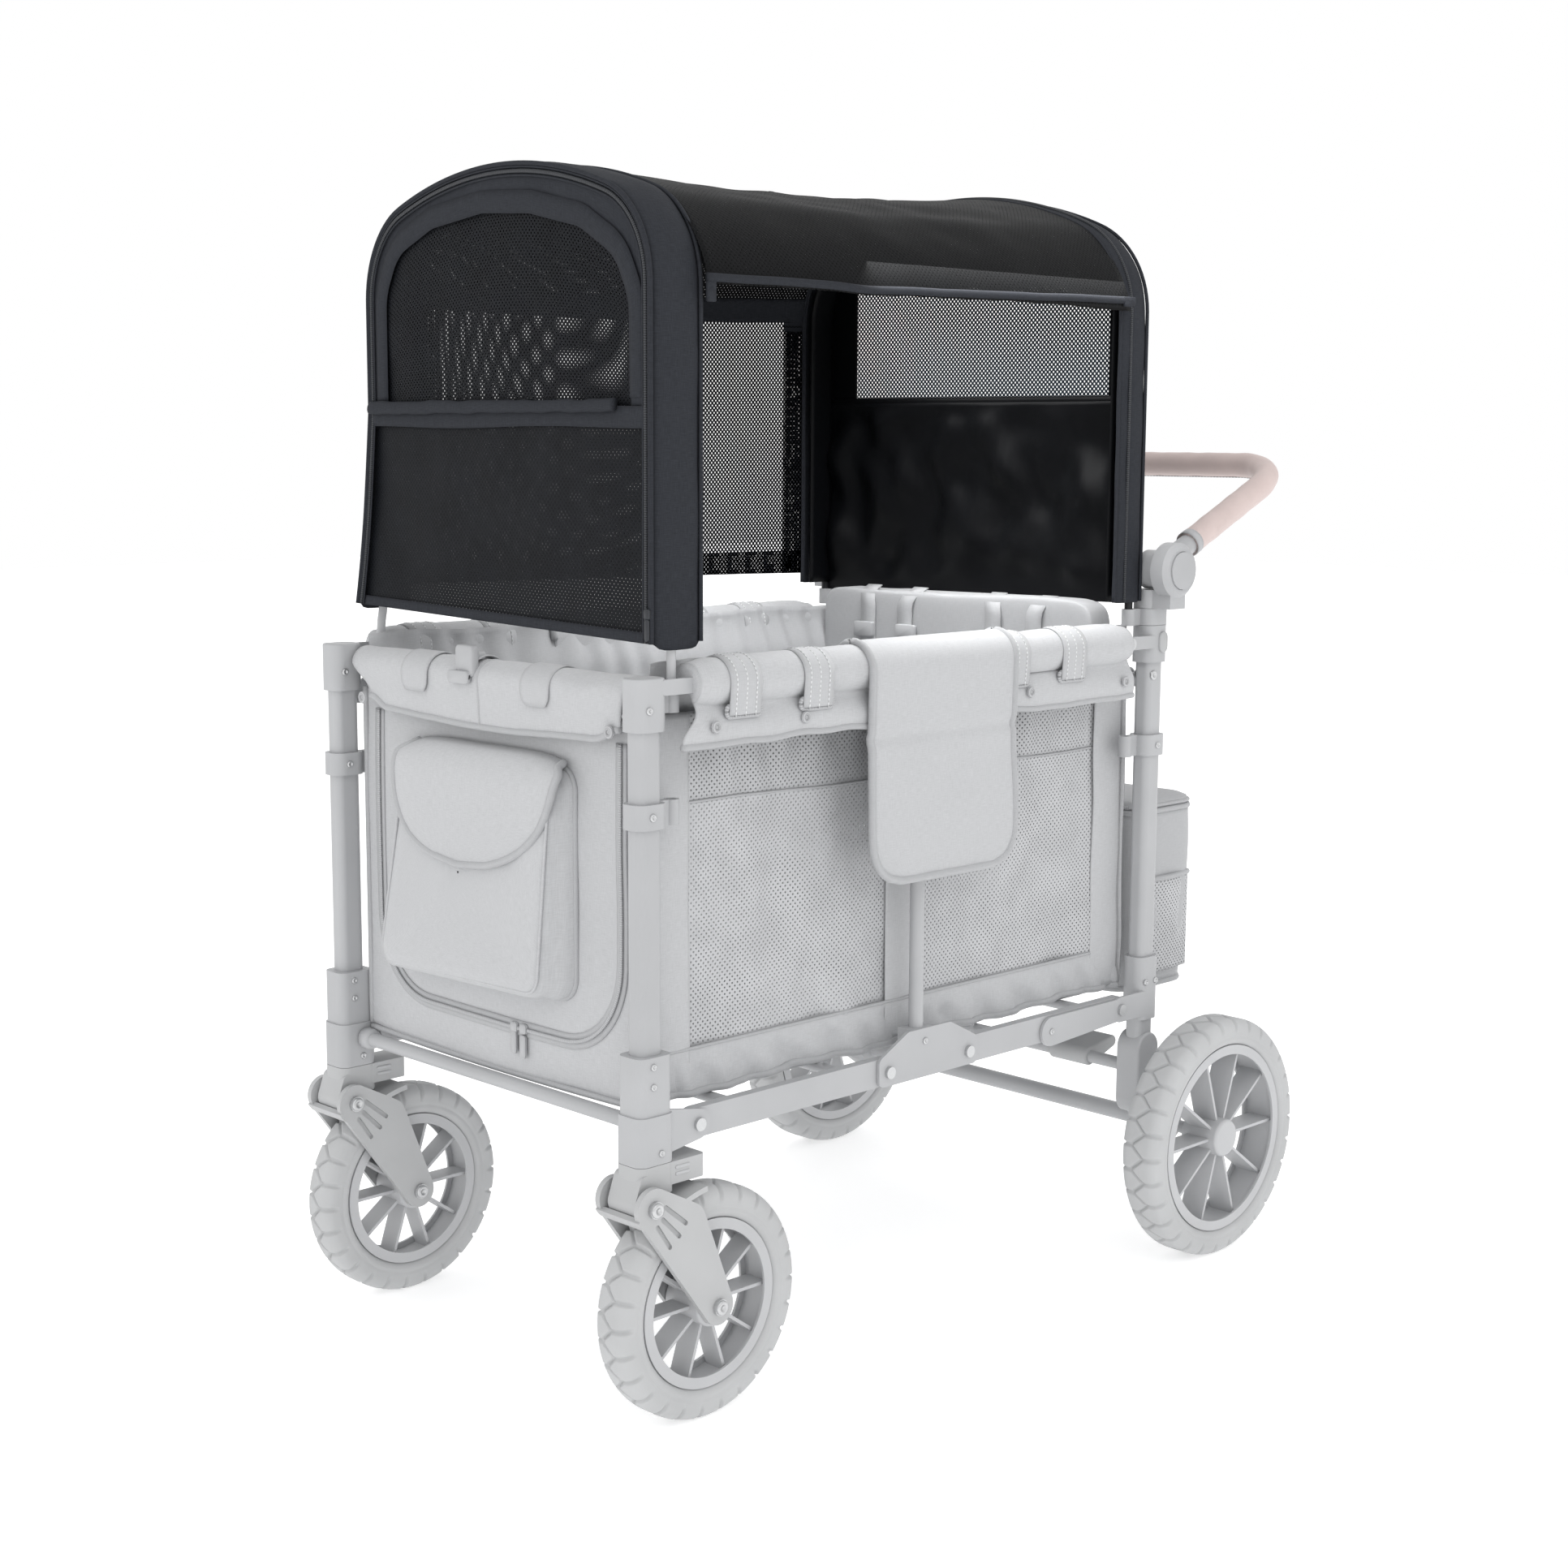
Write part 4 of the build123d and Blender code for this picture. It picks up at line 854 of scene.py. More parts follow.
@dataclass
class Arch:
    """Canopy arch: upright sides, round shoulders and a flat crown, all tangent."""
    half: float
    spring: float
    apex: float
    share: float = 0.8

    def line(self, left: float, right: float, count: int, inset: float = 0.0) -> Array:
        """Points over the arch from one hem to the other.

        Args:
            left: height of the hem at -X.
            right: height of the hem at +X.
            count: number of points.
            inset: distance drawn in.

        Returns:
            Points by (x, z).
        """
        rise, corner = self.apex - self.spring, (self.apex - self.spring) * self.share
        level = self.half - corner
        crown = (level ** 2 + rise ** 2 - corner ** 2) / (2 * (rise - corner))
        lean = math.atan2(level, crown - rise)
        sweep = np.linspace(0.0, math.pi / 2 - lean, 24)
        top = np.linspace(lean, -lean, 40)[1:-1]
        r, c = corner - inset, crown - inset
        right_arc = np.stack([level + r * np.cos(sweep), self.spring + r * np.sin(sweep)], axis=1)
        crown_arc = np.stack([c * np.sin(top), self.apex - crown + c * np.cos(top)], axis=1)
        left_arc = right_arc * [-1, 1]
        side = self.half - inset
        path = np.concatenate([[[-side, left]], left_arc, crown_arc[::-1], right_arc[::-1], [[side, right]]])
        return along(path, count)

    def top(self, x: Array, inset: float = 0.0) -> Array:
        """Height of the arch over places across it.

        Args:
            x: the places.
            inset: distance drawn in.

        Returns:
            Heights.
        """
        path = self.line(self.spring, self.spring, 400, inset)
        return np.interp(x, path[:, 0], path[:, 1])


@dataclass
class Canopy:
    """Two sleeved bows, mesh end panels and a mesh roof that runs down the far side."""
    front: Arch = field(default_factory=lambda: Arch(270.0, 1184.0, 1318.0))
    rear: Arch = field(default_factory=lambda: Arch(270.0, 1184.0, 1333.0))
    front_y: float = -410.0
    rear_y: float = 393.0
    band: float = 65.0
    hem: float = 828.0
    rear_hem: float = 836.0
    rear_band: float = 53.0
    sill: float = 1062.0
    far_hem: float = 850.0
    sag: float = 6.0
    pole_y: float = -379.0
    pole_foot: float = 760.5
    pole_inset: float = 7.4
    fold_travel: float = 461.0
    inner_half: float = 267.0
    window_half: float = 215.0
    split: float = 1080.0
    near_hems: tuple = (1191.0, 1198.0)

    def lean(self, p: Array, share: object = 1.0) -> Array:
        """The front bow stands back on its far side, more so higher up.

        Args:
            p: points of the upright bow.
            share: how much of the lean they get.

        Returns:
            The leaning points.
        """
        q = p.copy()
        high = np.sqrt(np.clip((p[..., 2] - 770.0) / 290.0, 0.0, 1.0))
        far = np.clip(0.5 - p[..., 0] / 540.0, 0.0, 1.0)
        q[..., 1] += share * 41.0 * far * high
        q[..., 2] += share * 12.0 * far * (1.0 - smoothstep(828.0, 960.0, p[..., 2])) * (p[..., 2] > 800.0)
        return q

    def face(self, y: float, x0: float, x1: float, low: Callable, high: Callable, nx: int, nz: int,
             finish: int = 0) -> Patch:
        """Upright sheet between two heights given across it: columns of points at even steps.

        Args:
            y: its plane.
            x0: one side.
            x1: other side.
            low: height of the lower edge for each x.
            high: height of the upper edge for each x.
            nx: columns.
            nz: rows.
            finish: finish number.

        Returns:
            The patch.
        """
        ease = np.linspace(0.0, 1.0, nx)
        if abs(x1 - x0) > 500:
            ease = 0.5 - 0.5 * np.cos(math.pi * ease)
        x = x0 + (x1 - x0) * ease
        t = np.linspace(0.0, 1.0, nz)
        z = low(x)[None, :] * (1 - t)[:, None] + high(x)[None, :] * t[:, None]
        return Patch(points(x, y, z), finish=finish)

    def sleeve(self, arch: Arch, y0: float, y1: float, hem: float, seed: int, drop: float = 7.0) -> Patch:
        """Padded sleeve over a bow: the arch carried from face to face, swollen and lightly puckered.

        Args:
            arch: bow that it covers.
            y0: front edge.
            y1: rear edge.
            hem: height of its lower ends.
            seed: choice of puckers.
            drop: how far the rounded lower ends hang below the hem.

        Returns:
            The patch.
        """
        path = arch.line(hem, hem, 170)
        t = np.linspace(0.0, 1.0, 11)
        tangent = np.gradient(path, axis=0)
        tangent /= np.linalg.norm(tangent, axis=1, keepdims=True)
        out = np.stack([-tangent[:, 1], tangent[:, 0]], axis=1)
        run = np.linspace(0.0, 30.0, len(path))[:, None]
        puff = 5.0 * np.sin(math.pi * t)[None, :] ** 0.6 + 1.0 * ripple(run, 3.0 * t[None, :], seed) - 3.0
        xz = path[:, None, :] + out[:, None, :] * puff[..., None]
        ends = (1.0 - smoothstep(0.0, 30.0, path[:, 1] - hem))[:, None]
        droop = drop * (1.0 - (2.0 * t - 1.0) ** 6)[None, :] * ends
        return Patch(points(xz[..., 0], y0 + (y1 - y0) * t, xz[..., 1] - droop))

    def lining(self, arch: Arch, y0: float, y1: float, hem: float) -> Patch:
        """Inner face of a sleeve, behind its pole.

        Args:
            arch: bow that it lines.
            y0: front edge.
            y1: rear edge.
            hem: height of its lower ends.

        Returns:
            The patch.
        """
        path = arch.line(hem, hem, 150, 14.0)
        return Patch(points(path[:, :1], np.linspace(y0, y1, 6), path[:, 1:]), finish=1)

    def bow_line(self, arch: Arch, y: float, inset: float, hem: float) -> Array:
        """Line over a bow at one depth.

        Args:
            arch: the bow.
            y: depth.
            inset: distance drawn in.
            hem: height of its lower ends.

        Returns:
            Points by 3.
        """
        xz = arch.line(hem, hem, 150, inset)
        return points(xz[:, 0], y, xz[:, 1])

    def window_line(self) -> Array:
        """Outline of the front window: upright sides and a flattened bow.

        Returns:
            Points by (x, z).
        """
        shape = [(-232, 1072), (-232, 1190), (-205, 1236), (-130, 1262), (-30, 1272), (60, 1266), (150, 1247),
                 (212, 1214), (236, 1170), (237, 1072)]
        return rounded(shape, 60.0, 10, loop=False)

    def build_front(self) -> None:
        """Front bow: sleeve, net face, window frame, sill, zip and binding."""
        y = self.front_y
        lower = lambda x: np.full(x.shape, self.hem + 1.0)
        inside = lambda x: self.front.top(x, 3.0)
        middle = lambda x: np.full(x.shape, self.sill)
        half = self.inner_half
        nets = [self.face(y + 4, -half, half, lower, middle, 80, 36),
                self.face(y + 4, -half, half, middle, inside, 80, 36, 2)]
        for net in nets:
            px, pz = net.points[..., 0], net.points[..., 2]
            swell = np.sin(math.pi * np.clip((pz - self.hem) / 470, 0, 1)) * (1 - (px / 270) ** 2)
            net.points[..., 1] += -3.0 * swell + 1.4 * ripple(px / 60, pz / 60, 3)
        sleeve = self.sleeve(self.front, y + 2, y + self.band, self.hem, 11)
        window = self.window_line()
        ring = along(points(window[:, 0], y - 0.5, window[:, 1]), 120)
        tangent = frames(ring)[0]
        across = points(tangent[:, 2], 0.0, -tangent[:, 0])
        frame_tape = ribbon(ring - across * 9.0, across, 24.0, 1, 4, -1.2)
        x = np.linspace(-266.0, 266.0, 90)
        outer = self.front.top(x, 4.0)
        by_x = window[np.argsort(window[:, 0])]
        opening = np.maximum(np.interp(x, by_x[:, 0], by_x[:, 1]), self.sill)
        base = np.where(np.abs(x) > 236.0, self.sill, opening)
        t = np.linspace(0.0, 1.0, 12)
        z = base[None, :] * (1 - t)[:, None] + outer[None, :] * t[:, None]
        cloth = points(x, y + 1.0, z)
        cloth[..., 1] += 1.2 * ripple(cloth[..., 0] / 40, cloth[..., 2] / 40, 5)
        sill_x = np.linspace(-262.0, 262.0, 60)
        sill_path = points(sill_x, y - 1.5, self.sill - 8.0 + 1.2 * np.sin(sill_x / 55.0))
        sill = ribbon(sill_path, Z_AXIS, 22.0, 1, 5, 1.0)
        roll_x = np.linspace(-262.0, 214.0, 120)
        pucker = ripple(roll_x / 16, roll_x / 50, 7)
        roll_z = self.sill + 3.0 + 1.4 * ripple(roll_x / 34, roll_x / 70, 9)
        roll_path = points(roll_x, y - 5.0 + 0.8 * pucker, roll_z)
        roll = tube(roll_path, 7.0 + 1.0 * pucker, 12, finish=1, flat=0.6)
        hem = ribbon(points(sill_x, y + 1.0, self.hem + 5.0), Z_AXIS, 11.0, 1, 4, 1.0)
        patches = nets + [frame_tape, Patch(cloth, finish=1), sill, roll, hem]
        inner = self.lining(self.front, y + 8.0, y + self.band - 2.0, self.hem)
        for patch in patches + [sleeve, inner]:
            patch.points[:] = self.lean(patch.points)
        finishes = [FRONT_NET, BLACK_CLOTH, FRONT_WINDOW_NET]
        panel = piece("canopy_front_cloth", patches, finishes, "canopy_front", wall=0.6)
        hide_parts("canopy_front_panel")
        # The sleeve's inner face takes the lining finish, whose near-black colour is painted shade.
        band = piece("canopy_front_sleeve", [sleeve, inner], [BLACK_CLOTH, BLACK_LINING_PAINTED_SHADE], "canopy_front",
                     wall=1.2)
        bow = self.front.line(self.pole_foot, self.pole_foot, 160, self.pole_inset)
        pole = tube(self.lean(points(bow[:, 0], self.pole_y, bow[:, 1])), 5.0, 14)
        pole_obj = piece("canopy_front_pole", [pole], [POLE_PAINT], "canopy_front")
        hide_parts("front_canopy_poles")
        line = lambda depth, inset: self.lean(self.bow_line(self.front, depth, inset, self.hem))
        edges = [tube(line(y - 1.0, 1.0), 2.6, 8), tube(line(y + self.band, 0.0), 2.4, 8)]
        piece("canopy_front_piping", edges, [BLACK_CLOTH], "canopy_front")
        tracks = [tube(line(y - 1.5, inset), wide, 8, flat=0.7, finish=kind)
                  for inset, wide, kind in ((9.0, 2.2, 0), (4.6, 1.2, 1), (13.4, 1.2, 1))]
        piece("canopy_front_zip", tracks, [BLACK_ZIP, BLACK_CLOTH], "canopy_front")
        pull = [box_patch((266.0, y - 4.0, 842.0), (7.0, 3.0, 22.0), 2.5, 0, 1),
                box_patch((266.0, y - 3.0, 858.0), (9.0, 5.0, 10.0), 2.0, 0, 1)]
        piece("canopy_front_zip_pull", pull, [BLACK_ZIP], "canopy_front")

    def build_rear(self) -> None:
        """Rear bow: sleeve, net window, crumpled lower cloth and borders."""
        y = self.rear_y - 3.0
        lower = lambda x: self.rear_hem - 6.5 + 3.5 * x / 240.0
        edge = lambda x: self.rear.top(x, 3.0)
        split = lambda x: np.full(x.shape, self.split)
        lid = lambda x: np.minimum(np.full(x.shape, 1228.0), edge(x))
        half, open_half = self.inner_half, self.window_half
        skirt = self.face(y, -half, half, lower, split, 70, 50, 1)
        fold = ripple(skirt.points[..., 0] / 38, skirt.points[..., 2] / 52, 21, 9)
        height = skirt.points[..., 2]
        calm = smoothstep(0, 40, height - self.rear_hem) * smoothstep(0, 30, self.split - height)
        skirt.points[..., 1] -= 9.0 + 13.0 * fold * calm
        window = self.face(y, -open_half, open_half, split, lid, 60, 24, 0)
        window.points[..., 1] -= 1.0 * ripple(window.points[..., 0] / 70, window.points[..., 2] / 70, 8)
        left = self.face(y, -half, -open_half, split, edge, 12, 20, 1)
        right = self.face(y, open_half, half, split, edge, 12, 20, 1)
        crown = self.face(y, -open_half, open_half, lid, edge, 40, 10, 1)
        seam = points(np.linspace(-262, 262, 60), y - 4.0, self.split)
        tape = ribbon(seam, Z_AXIS, 14.0, 1, 4, 2.0)
        patches = [window, skirt, left, right, crown, tape]
        # The rear panel's cloth takes the lining finish, whose near-black colour is painted shade of the
        # canopy's inside.
        panel = piece("canopy_rear_cloth", patches, [REAR_WINDOW_NET, BLACK_LINING_PAINTED_SHADE], "canopy_rear", wall=0.6)
        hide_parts("canopy_rear_panel")
        fore = self.rear_y - self.rear_band
        sleeve = self.sleeve(self.rear, fore, self.rear_y - 2, self.rear_hem, 17, 1.0)
        inner = self.lining(self.rear, fore + 2.0, self.rear_y - 8.0, self.rear_hem)
        # The rear sleeve's inner face takes the lining finish, whose near-black colour is painted shade.
        band = piece("canopy_rear_sleeve", [sleeve, inner], [BLACK_CLOTH, BLACK_LINING_PAINTED_SHADE], "canopy_rear",
                     wall=1.2)
        edges = [tube(self.bow_line(self.rear, at, 0.5, self.rear_hem), 2.2, 8)
                 for at in (fore, self.rear_y - 1.0)]
        piece("canopy_rear_piping", edges, [BLACK_CLOTH], "canopy_rear")
        track = self.bow_line(self.rear, fore + 17.0, -2.4, self.rear_hem)
        piece("canopy_rear_zip", [tube(track, 2.0, 8)], [BLACK_ZIP], "canopy_rear")

    def roof_grid(self, s0: float, s1: float, y0: float, y1: float, ns: int, ny: int, lift: float = 0.0,
                  finish: int = 0) -> Patch:
        """Part of the roof: arches blended from the front bow to the rear bow, let down between them.

        Args:
            s0: start, as a share of the way from the far hem over to the near hem.
            s1: end, likewise.
            y0: front edge.
            y1: rear edge.
            ns: points along the arch.
            ny: points along the roof.
            lift: height above the cloth.
            finish: finish number.

        Returns:
            The patch.
        """
        ys = np.linspace(y0, y1, ny)
        begin, end = self.front_y + self.band, self.rear_y - self.rear_band
        t = (ys - begin) / (end - begin)
        near = self.front.spring + 17.0 * t
        count = 301
        front = self.front.line(self.far_hem, self.near_hems[0], count)
        rear = self.rear.line(self.far_hem, self.near_hems[1], count)
        middle = Arch(self.front.half, self.front.spring, self.front.apex - self.sag)
        low = middle.line(self.far_hem, float(near.mean()), count)
        share = np.linspace(s0, s1, ns)
        pick = share * (count - 1)
        at = lambda line: np.stack([np.interp(pick, np.arange(count), line[:, k]) for k in (0, 1)], axis=1)
        a, b, c = at(front), at(rear), at(low)
        bow = (4 * t * (1 - t))[None, :, None]
        straight = a[:, None] * (1 - t)[None, :, None] + b[:, None] * t[None, :, None]
        half = 0.5 * (a + b)[:, None]
        xz = straight + bow * (c[:, None] - half)
        over = smoothstep(0.28, 0.5, share)[:, None]
        run = share[:, None] * 24.0
        crumple = ripple(run, ys[None, :] / 70.0, 31, 8) * bow[..., 0] * (0.6 + 2.4 * over)
        flare = 12.0 * smoothstep(0.9, 1.0, share)[:, None]
        p = points(xz[..., 0] + flare, ys, xz[..., 1] + crumple + lift)
        return Patch(self.lean(p, np.broadcast_to(1 - t, p.shape[:2])), finish=finish)

    def squash(self, obj: bpy.types.Object, end: float, begin: float) -> None:
        """Gives a roof piece its own copy of its mesh.

        Args:
            obj: the piece.
            end: rear edge of the roof; not used.
            begin: front edge of the roof; not used.
        """
        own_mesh(obj)

    def build_roof(self) -> None:
        """Net roof with cloth borders, a rolled near hem and the far side's net window."""
        begin, end = self.front_y + self.band - 2, self.rear_y - self.rear_band + 2
        nets = [self.roof_grid(0.0, 0.345, begin, end, 60, 80, 0.0, 2),
                self.roof_grid(0.345, 1.0, begin, end, 110, 80)]
        borders = [self.roof_grid(0.0, 0.03, begin, end, 6, 60, -1.0, 1),
                   self.roof_grid(0.0, 0.36, end - 42.0, end, 60, 8, -1.2, 1),
                   self.roof_grid(0.0, 0.36, begin, begin + 30.0, 60, 8, -1.2, 1),
                   self.roof_grid(0.33, 0.36, begin, end, 6, 60, -1.0, 1)]
        hem_line = self.roof_grid(0.995, 1.0, begin, end, 2, 80).points[1]
        hem = tube(hem_line, 4.2, 10, finish=1, flat=0.7)
        patches = nets + borders + [hem]
        finishes = [ROOF_NET, BLACK_CLOTH, SIDE_WINDOW_NET]
        roof = piece("canopy_roof_cloth", patches, finishes, "canopy_rear", wall=0.6)
        self.squash(roof, end, begin)
        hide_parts("canopy_roof")
        tabs = [box_patch((281.0, begin + 6.0, 1180.0), (4.0, 12.0, 26.0), 2.0, 0, 0),
                box_patch((283.0, end - 4.0, 1196.0), (4.0, 22.0, 12.0), 2.0, 0, 0)]
        self.squash(piece("canopy_zip_tabs", tabs, [BLACK_CLOTH], "canopy_rear"), end, begin)
        crest = self.roof_grid(0.60, 0.64, 10.0, 60.0, 2, 2).points.reshape(-1, 3).mean(0)
        arc = np.linspace(0, math.pi, 16)
        loop = points(crest[0], crest[1] + 22.0 * np.cos(arc), crest[2] + 14.0 * np.sin(arc))
        strap = ribbon(loop, X_AXIS, 20.0, 0, 4)
        self.squash(piece("canopy_roof_loop", [strap], [BLACK_CLOTH], "canopy_rear", wall=2.0), end, begin)

    def build(self) -> None:
        """Whole canopy."""
        self.build_front()
        self.build_rear()
        self.build_roof()
        dress(POLE_BLACK, "rear_canopy_poles")


def mirrored(patch: Patch) -> Patch:
    """The same grid on the other side, with its columns turned round so that it still faces outwards.

    Args:
        patch: the grid.

    Returns:
        Its mirror image.
    """
    turned = (patch.points * [-1.0, 1.0, 1.0])[:, ::-1]
    return Patch(turned, patch.loop_u, patch.loop_v, patch.finish, patch.caps)


def both(patches: Sequence[Patch]) -> list:
    """Right-hand grids and their mirror images.

    Args:
        patches: the right-hand grids.

    Returns:
        All the grids.
    """
    return list(patches) + [mirrored(p) for p in patches]


def upright_x(x: float, ys: Array, zs: Array, finish: int = 0) -> Patch:
    """Flat grid across X at given places along Y (columns) and Z (rows).

    Args:
        x: its plane.
        ys: columns.
        zs: rows.
        finish: finish number.

    Returns:
        The patch.
    """
    y, z = np.meshgrid(ys, zs)
    return Patch(points(x, y, z), finish=finish)


def upright_y(y: float, xs: Array, zs: Array, finish: int = 0) -> Patch:
    """Flat grid across Y at given places along X (columns) and Z (rows).

    Args:
        y: its plane.
        xs: columns.
        zs: rows.
        finish: finish number.

    Returns:
        The patch.
    """
    x, z = np.meshgrid(xs, zs)
    return Patch(points(x, y, z), finish=finish)


def pillow(centre: Sequence[float], size: Sequence[float], power: float = 5.0, rows: int = 28,
           columns: int = 64, seed: int = 0, dent: float = 0.0) -> Patch:
    """Crowned cushion: a superellipsoid whose sides pull in, lightly dented.

    Args:
        centre: its middle.
        size: full extents.
        power: how square it is; 2 is round.
        rows: points from bottom to top.
        columns: points round it.
        seed: choice of dents.
        dent: depth of the dents in millimetres.

    Returns:
        The patch.
    """
    lat = np.linspace(-math.pi / 2 + 0.02, math.pi / 2 - 0.02, rows)[:, None]
    lon = np.linspace(0.0, 2.0 * math.pi, columns, endpoint=False)[None, :]
    bend = lambda v: np.sign(v) * np.abs(v) ** (2.0 / power)
    x = bend(np.cos(lat)) * bend(np.cos(lon))
    y = bend(np.cos(lat)) * bend(np.sin(lon))
    z = bend(np.sin(lat)) * np.ones_like(lon)
    p = np.stack([x, y, z], axis=-1) * np.asarray(size, float) / 2
    p[..., 2] += dent * ripple(p[..., 0] / 60, p[..., 1] / 60, seed) * np.abs(z)
    return Patch(p + np.asarray(centre, float), loop_v=True, caps=True)


@dataclass
class Basket:
    """Cloth tub between the posts: panels, padded rim, pocket, flaps, seats and rear bag."""
    front_y: float = -402.0
    rear_y: float = 408.0
    side_x: float = 240.0
    half: float = 243.0
    low: float = 346.0
    rim_z: float = 785.0
    rail_x: float = 272.0
    bar_y: float = -400.0
    bar_z: float = 770.0
    folded: float = 0.424
    border: float = 393.0
    wall_top: float = 752.0
    shade_low: float = 655.0
    roll_radius: float = 25.0
    band_radius: float = 26.8
    flap_foot: float = 550.0
    flap_half: float = 119.0
    seat_top: float = 486.0
    bag_front: float = 429.0
    bag_depth: float = 147.0
    bag_half: float = 236.0
    bag_low: float = 327.0
    bag_rise: float = 232.0

    def squash(self, obj: bpy.types.Object, y: float, keep: float) -> None:
        """Gives a piece its own copy of its mesh.

        Args:
            obj: the piece.
            y: the place; not used.
            keep: share of its length that is left; not used.
        """
        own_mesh(obj)

    def front_face(self, x: Array, z: Array) -> Array:
        """Depth of the front panel's cloth, which swells a little and is lightly creased.

        Args:
            x: places across.
            z: heights.

        Returns:
            Places along Y.
        """
        u, v = x / self.half, np.clip((z - self.low) / 400.0, 0.0, 1.0)
        swell = (1 - u ** 4) * np.sin(math.pi * v) ** 0.5
        return self.front_y - 3.0 * swell + 1.6 * ripple(u * 5, v * 5, 41)

    def build_front(self) -> None:
        """Front panel with its zipped door and bellows pocket."""
        y = self.front_y
        panel = upright_y(y, np.linspace(-self.half, self.half, 90), np.linspace(self.low, 748.0, 80))
        u, v = panel.points[..., 0] / self.half, (panel.points[..., 2] - self.low) / 400.0
        panel.points[..., 1] = self.front_face(panel.points[..., 0], panel.points[..., 2])
        panel.points[..., 2] -= 8.0 * (1 - v) ** 6 * (1 - u ** 2)
        door = rounded([(-214, 722), (-214, 392), (214, 392), (214, 722)], 95.0, 16, loop=False)
        line = along(points(door[:, 0], y, door[:, 1]), 160)
        line[:, 1] = self.front_face(line[:, 0], line[:, 2]) - 2.0
        tangent = frames(line)[0]
        across = points(tangent[:, 2], 0.0, -tangent[:, 0])
        tape = ribbon(line + [0, 0.4, 0], across, 17.0, 1, 5, 0.6)
        sag = 4 - 4 * np.linspace(-1, 1, 50) ** 2
        hem_path = points(np.linspace(-self.half, self.half, 50), y, self.low - 5.0 - sag)
        cloth = [panel, tape, tube(hem_path, 3.0, 8, finish=1)]
        rise = np.linspace(self.low, 745, 40)
        cloth += [tube(points(s * self.half, y, rise), 2.6, 8, finish=1) for s in (-1, 1)]
        obj = piece("front_cloth_panel", cloth, [HEATHER, BINDING], "front_frame", wall=1.6)
        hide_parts("front_panel")
        zips = [tube(line - [0, 1.6, 0], 2.2, 8, flat=0.6)]
        pulls = (38.0, 54.0)
        zips += [box_patch((x, y - 8.0, 376.0 - 3 * k), (9.0, 4.0, 26.0), 3.0, 0, 1)
                 for k, x in enumerate(pulls)]
        zips += [box_patch((x, y - 7.0, 393.0), (11.0, 6.0, 11.0), 3.0, 0, 1) for x in pulls]
        piece("front_door_zip", zips, [PALE_ZIP], "front_frame")
        self.build_pocket(y - 3.0)

    def build_pocket(self, y: float) -> None:
        """Bellows pocket: rings of a rounded outline from the sewn base out to the face, and its flap.

        Args:
            y: plane that it is sewn to.
        """
        base = rounded([(-166, 438), (142, 438), (142, 690), (-166, 690)], 26.0, 9)
        face = rounded([(-168, 440), (116, 446), (130, 682), (-126, 682)], 20.0, 9)
        centre = np.array([-28.0, 560.0])
        steps = ((0.0, 0.0, 1.0), (0.12, 9.0, 1.0), (0.4, 13.0, 0.99), (0.75, 20.0, 1.0), (1.0, 26.0, 1.0),
                 (1.0, 27.5, 0.94))
        shares = (0.85, 0.75, 0.65, 0.55, 0.45, 0.35, 0.25, 0.15, 0.05, 0.01)
        steps += tuple((1.0, 28.5, share) for share in shares)
        rings = []
        for mix, out, scale in steps:
            ring = (base * (1 - mix) + face * mix - centre) * scale + centre
            depth = np.full(len(ring), y - out)
            drop = smoothstep(600.0, 450.0, ring[:, 1]) * (out / 28.0)
            depth -= 9.0 * drop * np.clip(scale * 1.2, 0, 1)
            depth += 2.4 * ripple(ring[:, 0] / 34, ring[:, 1] / 48, 52) * min(out / 20.0, 1.0)
            rings.append(points(ring[:, 0], depth, ring[:, 1] - 5.0 * drop))
        body = Patch(np.stack(rings), loop_v=True)
        edge = points(base[:, 0], y - 1.5, base[:, 1])
        corner = points(face[:, 0], y - 27.0, face[:, 1])
        corner[:, 1] -= 8.0 * smoothstep(600.0, 450.0, corner[:, 2])
        grids = [body, tube(edge, 3.0, 8, True, 1), tube(corner, 1.6, 8, True, 0)]
        pocket = piece("front_pocket", grids, [HEATHER, BINDING], "front_frame")
        v = np.linspace(0.0, 1.0, 26)[:, None]
        u = np.linspace(-1.0, 1.0, 44)[None, :]
        width = 142.0 * (1.0 - v ** 3.0) ** 0.5 * (0.9 + 0.1 * smoothstep(0.0, 0.14, v))
        x = 2.0 + u * width - 20.0 * v
        z = 702.0 - 132.0 * v - 7.0 * np.abs(u) ** 6 * (1.0 - smoothstep(0.0, 0.2, v))
        lift = np.sqrt(1.0 - (1.0 - np.clip(v / 0.3, 0.0, 1.0)) ** 2)
        depth = y - 5.0 - 29.0 * lift * (1.0 - 0.3 * np.abs(u) ** 8 * (1 - v)) - 2.0 * (1 - u ** 2)
        flap = points(x, depth + 1.0 * ripple(x / 30, z / 40, 61), z)
        rim = along(np.concatenate([flap[:-1, 0], flap[-1, 21:23], flap[:-1, -1][::-1]]), 110)
        grids = [Patch(flap), tube(rim, 3.2, 8, finish=1)]
        flap_obj = piece("front_pocket_flap", grids, [HEATHER, BINDING], "front_frame", wall=2.4)

    def over_bar(self, x: float, radius: float, arc: Array) -> Array:
        """Points round the front bar at one place across.

        Args:
            x: the place.
            radius: distance from the middle of the bar.
            arc: angles in radians, 0 towards the rear.

        Returns:
            Points by 3.
        """
        return points(x, self.bar_y + radius * np.cos(arc), self.bar_z + radius * np.sin(arc))

